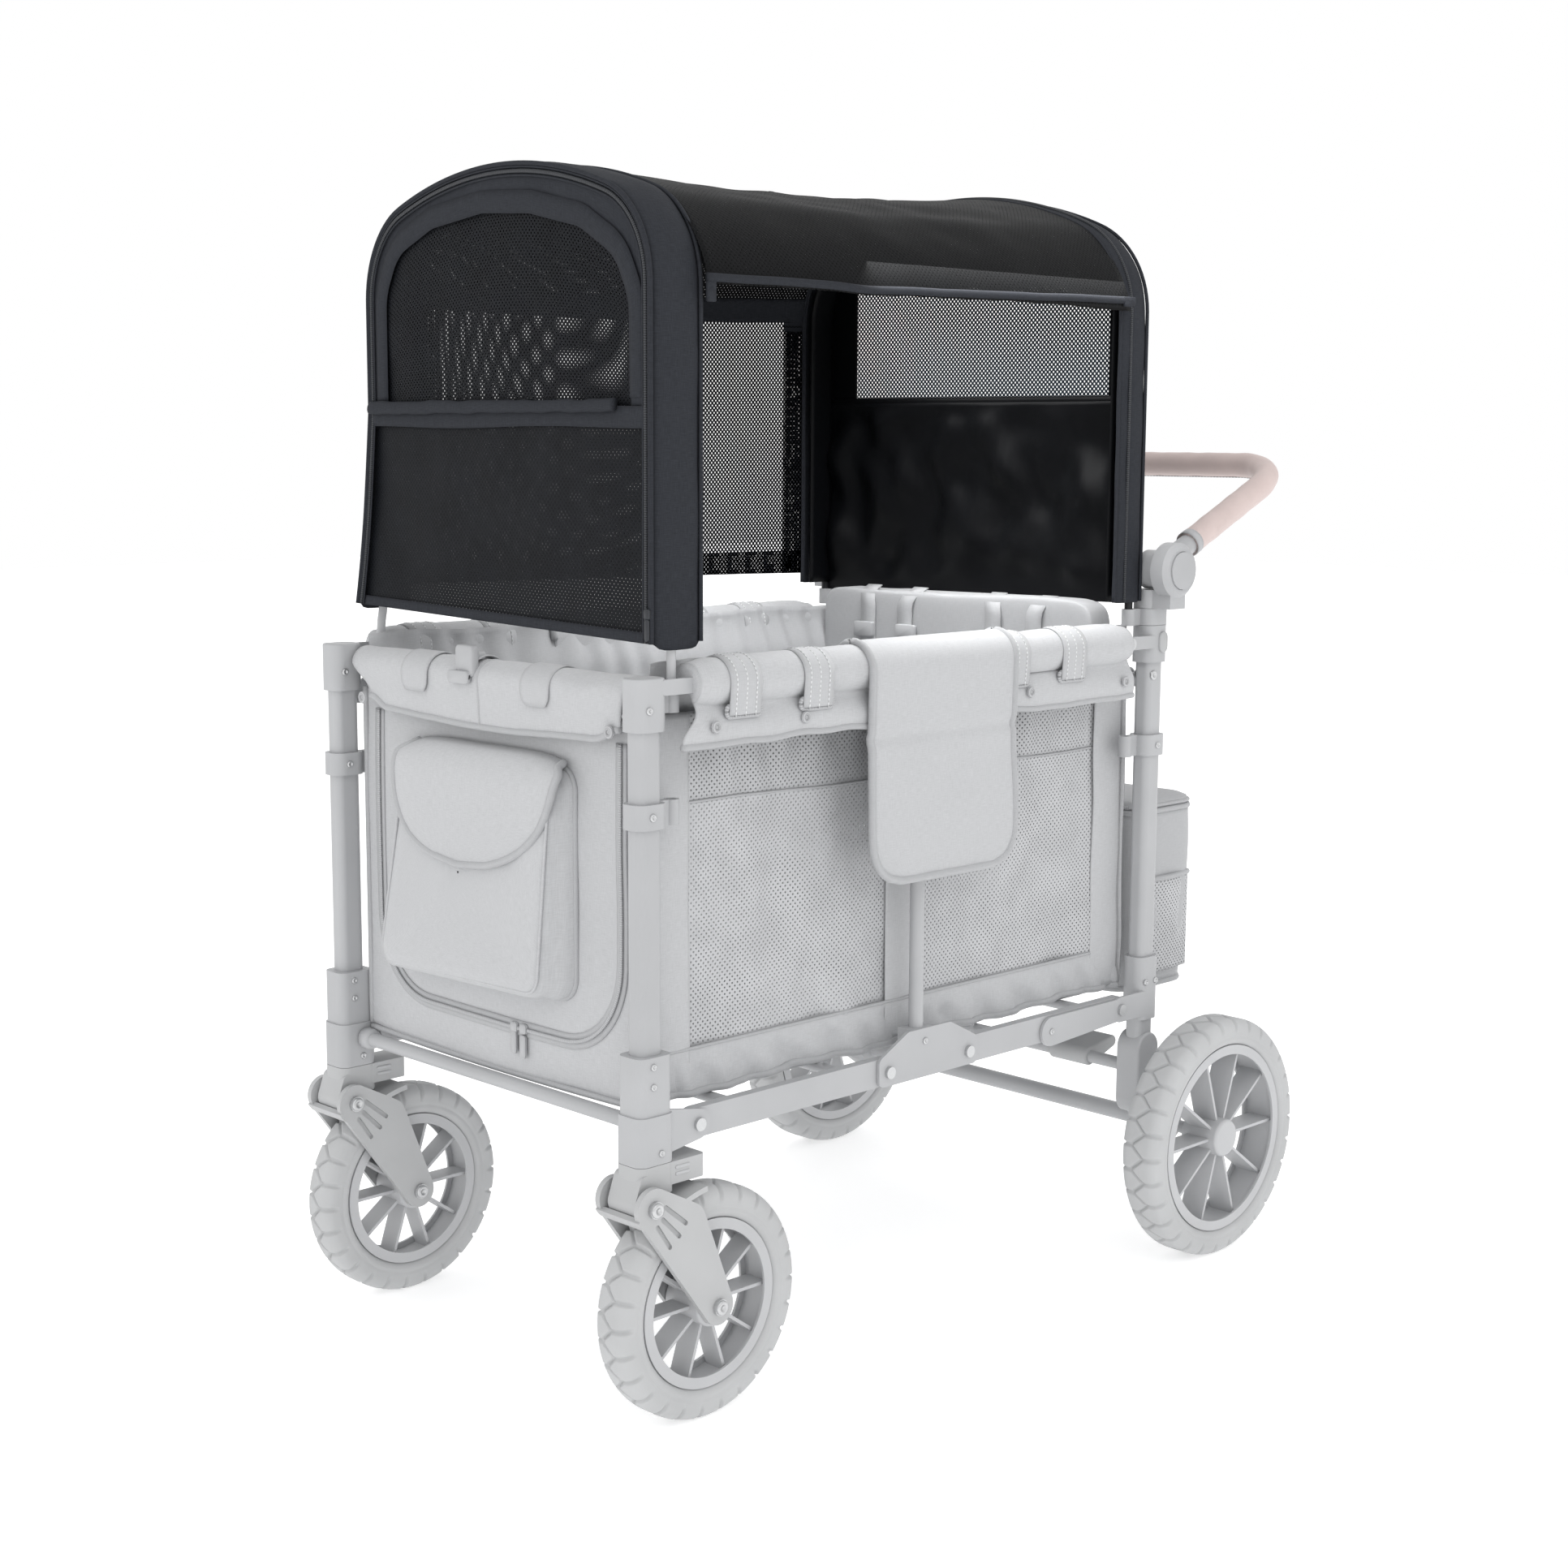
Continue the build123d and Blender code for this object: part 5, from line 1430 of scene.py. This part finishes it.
    def build_front_rim(self) -> None:
        """Cloth rolled over the front bar with a hanging valance, wrap loops, snaps and a buckled strap."""
        x = np.linspace(-242.0, 242.0, 80)
        turn = np.linspace(math.radians(-60), math.radians(180), 26)
        ring = self.over_bar(0.0, 22.5, turn)[:, 1:]
        drop = np.linspace(0.0, 1.0, 12)[1:, None]
        tail = ring[-1] + drop * np.array([3.0, -46.0])
        profile = np.concatenate([ring, tail])
        grid = points(x, profile[:, :1], profile[:, 1:])
        soft = ripple(x[None, :] / 34, np.linspace(0, 5, len(profile))[:, None], 71)
        grid[..., 1] -= 1.8 * soft
        grid[..., 2] += 1.0 * soft
        low = smoothstep(0.6, 1.0, np.linspace(0, 1, len(profile)))[:, None]
        grid[..., 0] *= 1.0 - low * np.where(x < 0.0, 0.15, 0.05)[None, :]
        grid[..., 2] += 12.0 * low * smoothstep(200.0, 240.0, np.abs(x)) - 3.0 * low * np.cos(x / 75.0)
        rim = Patch(grid)
        hem = tube(grid[-1], 3.0, 8, finish=1)
        seam = tube(grid[8:, 39], 1.2, 6, finish=1)
        obj = piece("front_rim_cloth", [rim, hem, seam], [HEATHER, BINDING], "front_frame", wall=2.0)
        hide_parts("front_roll")
        loops = []
        for cx in (-116.0, 98.0):
            arc = np.linspace(math.radians(20), math.radians(182), 20)
            path = self.over_bar(cx, 25.0, arc)
            path = np.concatenate([path, path[-1:] + [[0, 0.3, -9.0]], path[-1:] + [[0, 0.8, -17.0]]])
            taper = np.ones(len(path))
            grid = ribbon(path, X_AXIS, 48.0, 0, 9)
            taper[-1], taper[-2] = 0.7, 0.93
            grid.points[..., 0] = cx + (grid.points[..., 0] - cx) * taper[:, None]
            loops.append(grid)
        loops_obj = piece("front_rim_loops", loops, [WEBBING], "front_frame", wall=1.6)
        snaps = [button((s * 218.0, self.bar_y - 23.5, 736.0), 1, -1.0, 7.0, 2.5) for s in (-1, 1)]
        piece("front_rim_snaps", snaps, [PALE_ZIP], "front_frame")
        arc = np.linspace(math.radians(60), math.radians(175), 16)
        inner_end = [[-14.0, self.bar_y + 60.0, self.bar_z - 20.0]]
        strap = np.concatenate([inner_end, self.over_bar(-24.0, 27.0, arc)])
        tape = ribbon(along(strap, 24), X_AXIS, 24.0, 0, 4)
        strap_obj = piece("front_strap", [tape], [WEBBING], "front_frame", wall=1.6)
        clip = [box_patch((-24.0, self.bar_y - 20.0, self.bar_z + 22.0), (30.0, 11.0, 34.0), 5.0, 0, 1),
                box_patch((-30.0, self.bar_y - 27.0, self.bar_z + 4.0), (36.0, 6.0, 14.0), 4.0, 0, 1),
                box_patch((-24.0, self.bar_y - 8.0, self.bar_z + 27.0), (20.0, 14.0, 8.0), 3.0, 0, 2)]
        piece("front_buckle", clip, [CAST], "front_frame")

    def rim_section(self, name: str, y0: float, y1: float, bands: Sequence[float], body: str,
                    node: str) -> None:
        """Cloth rolled over one side rail with its valance, webbing bands, rings and snaps, on both sides.

        Args:
            name: front or rear.
            y0: one end.
            y1: other end.
            bands: places of the webbing bands along Y.
            body: top rail that carries it.
            node: CAD node that it stands for.
        """
        ys = np.linspace(y0, y1, 90)
        turn = np.linspace(math.radians(205), math.radians(-62), 30)
        r = self.roll_radius
        profile = np.stack([self.rail_x + r * np.cos(turn), self.rim_z + r * np.sin(turn)], axis=1)
        drop = np.linspace(0.0, 1.0, 13)[1:, None]
        tail = profile[-1] + drop * np.array([8.0, -40.0]) + np.sin(drop * math.pi) * np.array([5.0, 0.0])
        profile = np.concatenate([profile, tail])
        t = np.linspace(0.0, 1.0, len(profile))[:, None]
        grip = sum(np.exp(-((ys - b) / 16.0) ** 2) for b in bands)[None, :]
        soft = ripple(ys[None, :] / 36, t * 5, 81 if name == "front" else 83)
        ends = smoothstep(0.0, 26.0, np.minimum(ys - y0, y1 - ys))[None, :]
        out = profile[:, :1] - self.rail_x
        up = profile[:, 1:] - self.rim_z
        swell = 1.0 + 0.04 * soft - 0.05 * grip * (t < 0.72) - 0.16 * (1 - ends) * (t < 0.72)
        front_end = (1.0 - smoothstep(0.0, 70.0, ys - y0))[None, :] * (name == "front")
        reach = -24.0 * smoothstep(0.72, 0.95, t) * front_end
        grid = np.stack([self.rail_x + out * swell, ys[None, :] + reach,
                         self.rim_z + up * np.where(t < 0.72, swell, 1.0) + 3.0 * soft * (t > 0.72)], axis=-1)
        cloth = Patch(grid)
        hem = tube(grid[-1], 2.8, 8, finish=1)
        shares = np.linspace(1.0, 0.02, 5)[:, None, None]
        axis = np.array([self.rail_x, 0.0, self.rim_z])
        level = np.array([1.0, 0.0, 1.0])
        discs = [Patch((grid[:30, k] - axis) * level * shares + axis + [0.0, grid[0, k, 1], 0.0])
                 for k in (0, -1)]
        discs[0].points = discs[0].points[:, ::-1]
        obj = piece(f"{name}_rim_cloth_sides", both([cloth, hem] + discs), [HEATHER, BINDING], body, wall=2.0)
        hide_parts(node)
        straps, stitches, rings = [], [], []
        for b in bands:
            arc = np.linspace(math.radians(215), math.radians(-5), 36)
            r = self.band_radius
            path = points(self.rail_x + r * np.cos(arc), b, self.rim_z + r * np.sin(arc))
            path = along(np.concatenate([path, [[self.rail_x + 24.0, b, self.rim_z - 33.0]]]), 44)
            straps.append(ribbon(path, Y_AXIS, 44.0, 0, 5, 0.8))
            above = 1.3 * (path - [self.rail_x, b, self.rim_z]) / r
            stitches += [tube(path + [0, k, 0] + above, 0.7, 6) for k in (-14.0, 0.0, 14.0)]
            edge = rounded([(b - 24, -6), (b + 24, -6), (b + 24, 6), (b - 24, 6)], 5.0, 5)
            loop = points(self.rail_x + 22.0, edge[:, 0], self.rim_z - 29.0 + edge[:, 1])
            rings.append(tube(loop, 2.4, 8, True))
        band_obj = piece(f"{name}_rim_bands", both(straps), [WEBBING], body, wall=1.4)
        piece(f"{name}_rim_stitching", both(stitches), [STITCH], body)
        places = (y0 + 18, (y0 + y1) / 2) if name == "front" else (y0 + 80, y1 - 20)
        snaps = [button((self.rail_x + 24.5, y, 742.0), 0, 1.0, 6.5, 2.5, 0) for y in places]
        piece(f"{name}_rim_rings", both(rings + snaps), [PALE_ZIP], body)

    def build_flaps(self) -> None:
        """Cloth flap laid over each side rim at the middle, with a sewn seam and piped edge."""
        arc = np.linspace(math.radians(188), math.radians(0), 20)
        over = np.stack([self.rail_x + 29.5 * np.cos(arc), self.rim_z + 29.5 * np.sin(arc)], axis=1)
        low = np.linspace(0.0, 1.0, 44)[1:, None]
        hang = low * np.array([4.0, self.flap_foot - self.rim_z])
        tail = over[-1] + hang + np.sin(low * math.pi * 1.3) * np.array([-3.0, 0.0])
        inner = over[0] + np.linspace(1.0, 0.0, 6)[:-1, None] * np.array([0.0, -36.0])
        profile = along(np.concatenate([inner, over, tail]), 76)
        away = self.flap_foot - profile[:, 1]
        corner = 42.0
        depth = np.clip(corner + away, 0.0, corner)
        trim = corner - np.sqrt(np.maximum(corner ** 2 - depth ** 2, 0.0))
        half = self.flap_half - trim * (profile[:, 0] > self.rail_x)
        u = np.linspace(-1.0, 1.0, 46)
        grid = points(profile[:, :1], u[None, :] * half[:, None] - 2.0, profile[:, 1:])
        outer = (profile[:, 0] > self.rail_x)[:, None]
        soft = ripple(u[None, :] * 3, profile[:, 1:] / 50, 91)
        pinch = np.exp(-((profile[:, 1:] - 709.0) / 6.0) ** 2)
        grid[..., 0] += outer * (2.2 * soft - 3.0 * pinch)
        flap = Patch(grid)
        rim = along(np.concatenate([grid[8:, 0], grid[-1, 1:-1], grid[8:, -1][::-1]]), 150)
        piping = tube(rim, 3.2, 8, finish=1)
        obj = piece("side_flap_cloth", both([flap, piping]), [HEATHER, BINDING], "centre", wall=3.0)
        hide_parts("side_flaps")

    def build_sides(self) -> None:
        """Side walls: net windows set in cloth borders, gathered a little under the rim."""
        x, low, high = self.side_x, self.low, self.wall_top
        net = upright_x(x - 3.0, np.linspace(-385.0, 360.0, 150), np.linspace(386.0, high, 52))
        y, z = net.points[..., 1], net.points[..., 2]
        gather = np.sin(y / 8.0 + 1.2 * np.sin(y / 37.0)) * smoothstep(640.0, 735.0, z)
        net.points[..., 0] += 3.0 * ripple(y / 38, z / 95, 101) + 2.6 * gather
        fold = self.shade_low
        shade = upright_x(x - 9.0, np.linspace(-394.0, 394.0, 220), np.linspace(fold, 806.0, 24), 1)
        cy, cz = shade.points[..., 1], shade.points[..., 2]
        pleat = np.sin(cy / 7.5 + 1.4 * np.sin(cy / 43.0 + cz / 60.0))
        shade.points[..., 0] += 15.0 * smoothstep(745.0, 800.0, cz) + 3.0 * pleat
        shade.points[..., 2] += 2.0 * np.sin(cy / 31.0) * smoothstep(760.0, 806.0, cz)
        border = []
        for y0, y1 in ((-401.0, -334.0), (-31.0, 11.0), (346.0, 401.0)):
            strip = upright_x(x, np.linspace(y0, y1, 14), np.linspace(low, high, 50), 2)
            sy, sz = strip.points[..., 1], strip.points[..., 2]
            strip.points[..., 0] += 1.4 * ripple(sy / 30, sz / 60, int(610 + y0))
            border.append(strip)
        foot = upright_x(x, np.linspace(-401.0, 401.0, 260), np.linspace(low, self.border, 18), 2)
        fy, fz = foot.points[..., 1], foot.points[..., 2]
        tuck = np.sin(fy / 9.0 + fz / 14.0 + 2.0 * np.sin(fy / 61.0)) + ripple(fy / 12, fz / 16, 103)
        swell = 2.0 * smoothstep(self.border, 350, fz)
        foot.points[..., 0] += 3.4 * tuck * smoothstep(self.border, 365, fz) + swell
        foot.points[..., 2] += 2.0 * np.sin(fy / 37.0) * smoothstep(400, 350, fz)
        hem = tube(foot.points[0] + [1.0, 0.0, 0.0], 3.4, 8, finish=3)
        run = np.linspace(-366.0, 346.0, 160)
        seam = tube(points(x + 1.0, run, self.border), 1.4, 6, finish=3)
        ledge_x = x - 1.5 + 3.0 * ripple(run / 38, np.full(160, fold / 95), 101)
        ledge = tube(points(ledge_x, run, fold + 2.0 * np.sin(run / 60.0)), 0.9, 6, finish=3)
        patches = [net, shade] + border + [foot, hem, seam, ledge]
        finishes = [SIDE_NET, INNER_CLOTH, HEATHER, BINDING]
        obj = piece("side_cloth_walls", both(patches), finishes, "rear_frame", wall=1.2)
        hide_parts("side_panels")
        self.squash(obj, 401.0, self.folded)
        back = upright_y(self.rear_y - 3.0, np.linspace(-self.half, self.half, 60),
                         np.linspace(low, high, 50))
        back.points[..., 1] += 2.0 * ripple(back.points[..., 0] / 50, back.points[..., 2] / 60, 121)
        top = np.linspace(math.radians(-70), math.radians(200), 22)[::-1, None]
        across = np.linspace(-236.0, 236.0, 60)
        roll_patch = Patch(points(across, 419.0 + 14.0 * np.cos(top), 735.0 + 14.0 * np.sin(top)))
        rear = piece("rear_cloth_panel", [back, roll_patch], [HEATHER], "rear_frame", wall=2.0)
        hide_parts("rear_panel")

    def build_seats(self) -> None:
        """Facing bench seats with padded backs and webbing harnesses."""
        benches = (("rear", "rear_frame", 1.0, 388.0, 834.0), ("front", "front_frame", -1.0, 395.0, 722.0))
        for name, body, end, back, top in benches:
            flip = np.array([1.0, end, 1.0])
            pad = pillow((0.0, back - 122.0, 470.0), (438.0, 214.0, 64.0), 6.0, 26, 80, 131, 5.0)
            skirt = pillow((0.0, back - 118.0, 396.0), (424.0, 200.0, 94.0), 9.0, 14, 64)
            middle, height = (self.seat_top + top) / 2, top - self.seat_top
            rest = pillow((0.0, back - 22.0, middle), (464.0, 44.0, height), 16.0, 26, 96, 133, 3.0)
            pads = []
            for patch in (pad, skirt, rest):
                p = patch.points * flip
                pads.append(Patch(p if end > 0 else p[:, ::-1], loop_v=True, caps=True))
            obj = piece(f"{name}_seat_pads", pads, [INNER_CLOTH], body)
            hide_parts(f"{name}_seat")
            self.squash(obj, end * back, 0.25)
            belts, clasps = [], []
            run = rounded([(back - 24, top + 3), (back - 47, top - 8), (back - 48, 560), (back - 66, 508),
                           (back - 110, 506)], 22.0, 8, loop=False)
            draw_in = np.linspace(1.0, 0.35, len(run))
            for cx in (-110.0, 110.0):
                for dx in (-42.0, 42.0):
                    path = points(cx + dx * draw_in, run[:, 0] * end, run[:, 1])
                    belts.append(ribbon(along(path, 50), X_AXIS, 25.0, 0, 3))
                    place = (cx + dx * 0.9, (back - 50) * end, top - 55.0)
                    clasps.append(box_patch(place, (34.0, 7.0, 20.0), 3.0, 0, 1))
                clasps.append(box_patch((cx, (back - 112) * end, 509.0), (46.0, 40.0, 13.0), 8.0, 0, 2))
            belt = piece(f"{name}_seat_belts", belts, [WEBBING], body, wall=1.6)
            self.squash(belt, end * back, 0.25)
            clasp = piece(f"{name}_seat_buckles", clasps, [CAST], body)
            self.squash(clasp, end * back, 0.25)

    def build_bag(self) -> None:
        """Rear storage bag: a sagging shell with side pockets, straps on the bar and a zipped, hinged lid."""
        front, half = self.bag_front, self.bag_half
        back, mid = front + self.bag_depth, front + self.bag_depth / 2
        outline = rounded([(-half, front), (half, front), (half, back), (-half, back)], 34.0, 8)
        outline = along(np.concatenate([outline, outline[:1]]), 121)[:-1]
        rings = []
        for v in np.linspace(0.0, 1.0, 24):
            swell = 1.0 - 0.035 * (1 - v) + 0.02 * math.sin(math.pi * v)
            ring = (outline - [0.0, mid]) * [swell, swell] + [0.0, mid]
            ring[:, 1] = np.maximum(ring[:, 1], front)
            soft = ripple(ring[:, 0] / 55 + ring[:, 1] / 50, np.full(len(ring), v * 4.0), 141)
            push = (ring - [0.0, mid]) / np.linalg.norm(ring - [0.0, mid], axis=1, keepdims=True)
            puff = (3.2 * soft * math.sin(math.pi * min(max(v, 0.03), 0.97)))[:, None]
            ring = ring + push * puff * (ring[:, 1:] > front + 6)
            rings.append(points(ring[:, 0], ring[:, 1], self.bag_low + self.bag_rise * v))
        shell = Patch(np.stack(rings), loop_v=True)
        base = rings[0] - [0, mid, self.bag_low]
        inner = [base * [share, share, 1] + [0, mid, self.bag_low - 2.5] for share in (0.02, 0.5)]
        floor = Patch(np.stack(inner + rings[:1]), loop_v=True, caps=True)
        belts = [upright_y(front - 1.0, np.linspace(cx - 20, cx + 20, 4), np.linspace(520.0, 748.0, 24), 1)
                 for cx in (-150, 150)]
        edges = [tube(rings[0], 3.2, 8, True, 2), tube(rings[-1], 3.0, 8, True, 2)]
        pocket = []
        for s in (-1, 1):
            yy, zz = np.meshgrid(np.linspace(front + 22, back - 14, 24), np.linspace(345.0, 470.0, 20))
            crown = np.sin(math.pi * (yy - yy.min()) / (yy.max() - yy.min()))
            bulge = 9.0 * crown * (0.4 + 0.6 * (zz - 345) / 125)
            grid = points(s * (half - 4.0 + bulge), yy, zz)
            pocket.append(Patch(grid if s > 0 else grid[:, ::-1], finish=3))
            pocket.append(tube(grid[-1], 3.0, 8, finish=2))
        patches = [shell, floor] + belts + edges + pocket
        finishes = [BAG_CLOTH, WEBBING, BINDING, SIDE_NET]
        obj = piece("rear_bag_shell", patches, finishes, "rear_frame", wall=1.4)
        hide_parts("rear_bag")
        lid_ring = (outline - [0.0, mid]) * [0.995, 0.985] + [0.0, mid + 1.5]
        rows = []
        heights = ((1.0, 561.0), (1.005, 566.0), (0.995, 571.0), (0.96, 573.5), (0.8, 575.5), (0.5, 577.0),
                   (0.02, 577.5))
        for scale, z in heights:
            ring = (lid_ring - [0.0, mid]) * scale + [0.0, mid]
            ring[:, 1] = np.maximum(ring[:, 1], 433.5)
            soft = 1.0 * ripple(ring[:, 0] / 50, ring[:, 1] / 40, 151) * (scale < 0.97)
            rows.append(points(ring[:, 0], ring[:, 1], z + soft))
        under = [(rows[0] - [0, mid, 0]) * [share, share, 1] + [0, mid, 0] for share in (0.02, 0.5)]
        lid = Patch(np.stack(under + rows), loop_v=True, caps=True)
        track = tube(rows[1], 2.4, 8, True, 1)
        cap = piece("rear_bag_lid_cloth", [lid, track], [BAG_CLOTH, PALE_ZIP], "bag_lid")
        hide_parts("bag_lid")

    def build(self) -> None:
        """Whole basket."""
        self.build_front()
        self.build_front_rim()
        self.rim_section("front", -366.0, -72.0, (-307.0, -200.0), "front_top_rails", "front_side_rolls")
        self.rim_section("rear", 72.0, 352.0, (126.0, 231.0), "rear_top_rails", "rear_side_rolls")
        self.build_flaps()
        self.build_sides()
        self.build_seats()
        self.build_bag()


@dataclass
class Wheels:
    """Tyres with cut tread: a zigzag round the crown and grooves from its corners out to the shoulders."""
    post_x: float = 266.0
    front: tuple = (-346.0, 127.0, 92.0, 46.0, 26)
    rear: tuple = (474.0, 153.0, 120.0, 54.0, 30)
    rear_x: float = 341.0
    per_block: int = 20

    def tyre(self, name: str, body: str, x: float, size: tuple) -> None:
        """One tyre.

        Args:
            name: node that it stands for.
            body: wheel that carries it.
            x: its middle plane.
            size: axle place along Y, outer radius, rim radius, width and number of blocks.
        """
        axle, radius, rim, width, blocks = size
        half = width / 2
        corners = [(-half + 7.0, rim - 0.5), (-half, rim + 4.0), (-half, radius), (half, radius),
                   (half, rim + 4.0), (half - 7.0, rim - 0.5)]
        section = along(rounded(corners, 0.4 * (radius - rim), 9, loop=False), 64)
        side, out = section[:, 0], section[:, 1]
        slope = np.gradient(section, axis=0)
        slope /= np.linalg.norm(slope, axis=1, keepdims=True)
        normal = np.stack([-slope[:, 1], slope[:, 0]], axis=1)
        turn = np.linspace(0.0, 1.0, blocks * self.per_block, endpoint=False)[:, None]
        phase = (turn * blocks) % 1.0
        zigzag = 0.17 * width * (4.0 * np.abs(phase - 0.5) - 1.0)
        pitch = 2.0 * math.pi * radius / blocks
        bar = lambda away, wide: 1.0 - smoothstep(0.5 * wide, 1.1 * wide, np.abs(away))
        near = np.minimum(phase, 1.0 - phase) * pitch
        middle = np.abs(phase - 0.5) * pitch
        tread = smoothstep(rim + 0.42 * (radius - rim), rim + 0.75 * (radius - rim), out)[None, :]
        right = smoothstep(-1.0, 1.0, side[None, :] - zigzag)
        cut = np.maximum(bar(side[None, :] - zigzag, 2.2) * (out > radius - 3.0)[None, :],
                         np.maximum(bar(near, 2.4) * right, bar(middle, 2.4) * (1.0 - right)))
        depth = 3.0 * cut * tread + 0.6 * (1.0 - tread) * bar(out[None, :] - (rim + 11.0), 2.0)
        flank = side[None, :] - normal[None, :, 0] * depth
        level = out[None, :] - normal[None, :, 1] * depth
        angle = 2.0 * math.pi * turn
        grid = np.stack([x + flank, axle + level * np.cos(angle), radius + level * np.sin(angle)], axis=-1)
        obj = piece(f"{name}_tread", [Patch(grid, loop_u=True)], [TYRE_RUBBER], body)
        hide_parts(name)

    def build(self) -> None:
        """Four tyres."""
        for side, sign in (("left", -1.0), ("right", 1.0)):
            self.tyre(f"front_tyre_{side}", f"front_wheel_{side}", sign * self.post_x, self.front)
            self.tyre(f"rear_tyre_{side}", f"rear_wheel_{side}", sign * self.rear_x, self.rear)


@dataclass
class Handle:
    """Leather sleeve sewn round the push bar."""
    hub_y: float = 419.0
    hub_z: float = 874.0
    half: float = 274.0
    reach: float = 305.0
    rise: float = 24.5
    corner: float = 70.0
    start: float = 70.0
    radius: float = 16.5

    def build(self) -> None:
        """Grip, its seam along the underside and its end rings."""
        corners = [(self.half, self.start), (self.half, self.reach), (-self.half, self.reach),
                   (-self.half, self.start)]
        flat = along(rounded(corners, self.corner, 18, loop=False), 170)
        across, out = flat[:, 0], flat[:, 1]
        a = math.radians(self.rise)
        path = points(across, self.hub_y + out * math.cos(a), self.hub_z + out * math.sin(a))
        soft = self.radius - 0.5 + 0.35 * np.sin(np.arange(170) * 0.9) * np.sin(np.arange(170) * 0.23)
        grip = piece("handle_grip_leather", [tube(path, soft, 24)], [GRIP_LEATHER], "handle")
        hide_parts("handle_grip")
        first, second = frames(path)[1:]
        inward = np.where(((path.mean(0) - path) * second).sum(1, keepdims=True) > 0, second, -second)
        down = np.where(first[:, 2:] < 0, first, -first)
        seam = path + (0.5 * inward + 0.866 * down) * (self.radius - 0.2)
        rings = [tube(path[k:k + 3], self.radius + 0.2, 20) for k in (0, 167)]
        piece("handle_grip_seam", [tube(seam, 0.9, 6)], [STITCH], "handle")
        piece("handle_grip_ends", rings, [CAST], "handle")


@dataclass
class Fittings:
    """Screws, push buttons and small zinc pieces on the frame."""
    post_x: float = 266.0
    wall: float = 17.0
    plate_x: float = 282.6
    fork_half: float = 38.0
    fork_pivot: tuple = (-436.0, 254.0)
    front_axle: tuple = (-346.0, 127.0)

    def both_faces(self, y: float, z: float, reach: float, radius: float = 4.2) -> list:
        """Screw heads on the outer and inner face of both posts.

        Args:
            y: place along the wagon.
            z: height.
            reach: distance from the middle of the post.
            radius: radius of the heads.

        Returns:
            Four patches.
        """
        heads = []
        for side in SIDES:
            for face in SIDES:
                heads.append(button((side * self.post_x + face * reach, y, z), 0, face, radius, 2.2))
        return heads

    def build(self) -> None:
        """All fittings, by the body that carries them."""
        front = self.both_faces(-426.0, 763.0, self.wall) + self.both_faces(-422.0, 655.0, self.wall)
        for z in (398.0, 377.0):
            front += self.both_faces(-424.0, z, 19.0, 3.8)
        front += self.both_faces(-415.0, 306.0, 21.0, 3.8)
        piece("front_screws", front, [ZINC], "front_frame")
        rear = self.both_faces(413.0, 743.0, 12.0, 6.0) + self.both_faces(419.0, 655.0, self.wall)
        rear += [button((s * self.plate_x, y, z), 0, s, 4.0, 2.2) for s in SIDES
                 for y, z in ((409.0, 352.0), (429.0, 352.0), (222.0, 321.0))]
        piece("rear_screws", rear, [ZINC], "rear_frame")
        push = [box_patch((s * 283.6, 424.0, 784.0), (4.0, 15.0, 26.0), 7.0, 0, 0) for s in SIDES]
        piece("collar_buttons", push, [CAST_PALE], "rear_frame")
        heads = [button((s * self.plate_x, -8.0, 351.0), 0, s, 4.0, 2.2) for s in SIDES]
        piece("centre_bolt_heads", heads, [ZINC], "centre")
        sleeves = [box_patch((s * 236.0, -412.0, 328.0), (18.0, 24.0, 24.0), 11.0, 0, 0) for s in SIDES]
        piece("cross_tube_sleeves", sleeves, [CAST], "front_frame")
        for side, s in (("left", -1.0), ("right", 1.0)):
            x = s * self.post_x
            tab = [box_patch((x, -352.5, 281.0), (22.0, 4.0, 11.0), 3.0, 0, 1)]
            piece(f"caster_catch_{side}", tab, [ZINC], f"caster_{side}")
            reach = self.fork_half
            bolts = [button((x + f * reach, *self.fork_pivot), 0, f, 8.0, 3.0) for f in SIDES]
            piece(f"fork_bolt_heads_{side}", bolts, [ZINC], f"caster_{side}")
            ends = [button((x + f * reach, *self.front_axle), 0, f, 8.0, 3.0) for f in SIDES]
            piece(f"axle_bolt_heads_{side}", ends, [ZINC], f"fork_{side}")
            slots = [box_patch((x + f * 21.2, -386.0, z), (1.6, 20.0, 3.6), 1.6, 0, 0)
                     for f in SIDES for z in (287.0, 280.0)]
            piece(f"caster_vents_{side}", slots, [RIM_PLASTIC], f"caster_{side}")


def hard_parts() -> None:
    """Finishes of the frame pieces that keep their CAD shape."""
    dress(FRAME_PAINT, "rear_posts", "front_posts", "rear_side_rails", "front_side_rails", "rear_top_rails",
          "front_top_rails", "centre_posts", "rear_cross_tubes", "front_cross_tubes", "handle_bar")
    dress(CAST, "rear_legs", "front_castings", "rear_brackets", "rear_collars", "front_caps",
          "centre_brackets", "handle_hubs", "handle_button_left", "handle_button_right")
    dress(ZINC, "rear_pins", "front_pins", "centre_pins")
    dress(CAST, "rear_floor_board", "front_floor_board")
    dress(PEDAL_RUBBER, "brake_pedal", "suspension_bumper_left", "suspension_bumper_right")
    for side in ("left", "right"):
        dress(CAST_PALE, f"caster_housing_{side}", f"caster_fork_{side}")
        dress(ZINC, f"fork_pin_{side}", f"front_axle_{side}")
        dress(RIM_PLASTIC, f"front_rim_{side}", f"rear_rim_{side}")


def main() -> None:
    """Builds the looks in order."""
    logging.basicConfig(level=logging.INFO, format="%(message)s")
    Studio().build()
    hard_parts()
    Canopy().build()
    Basket().build()
    Wheels().build()
    Handle().build()
    Fittings().build()


if __name__ == "__main__":
    main()
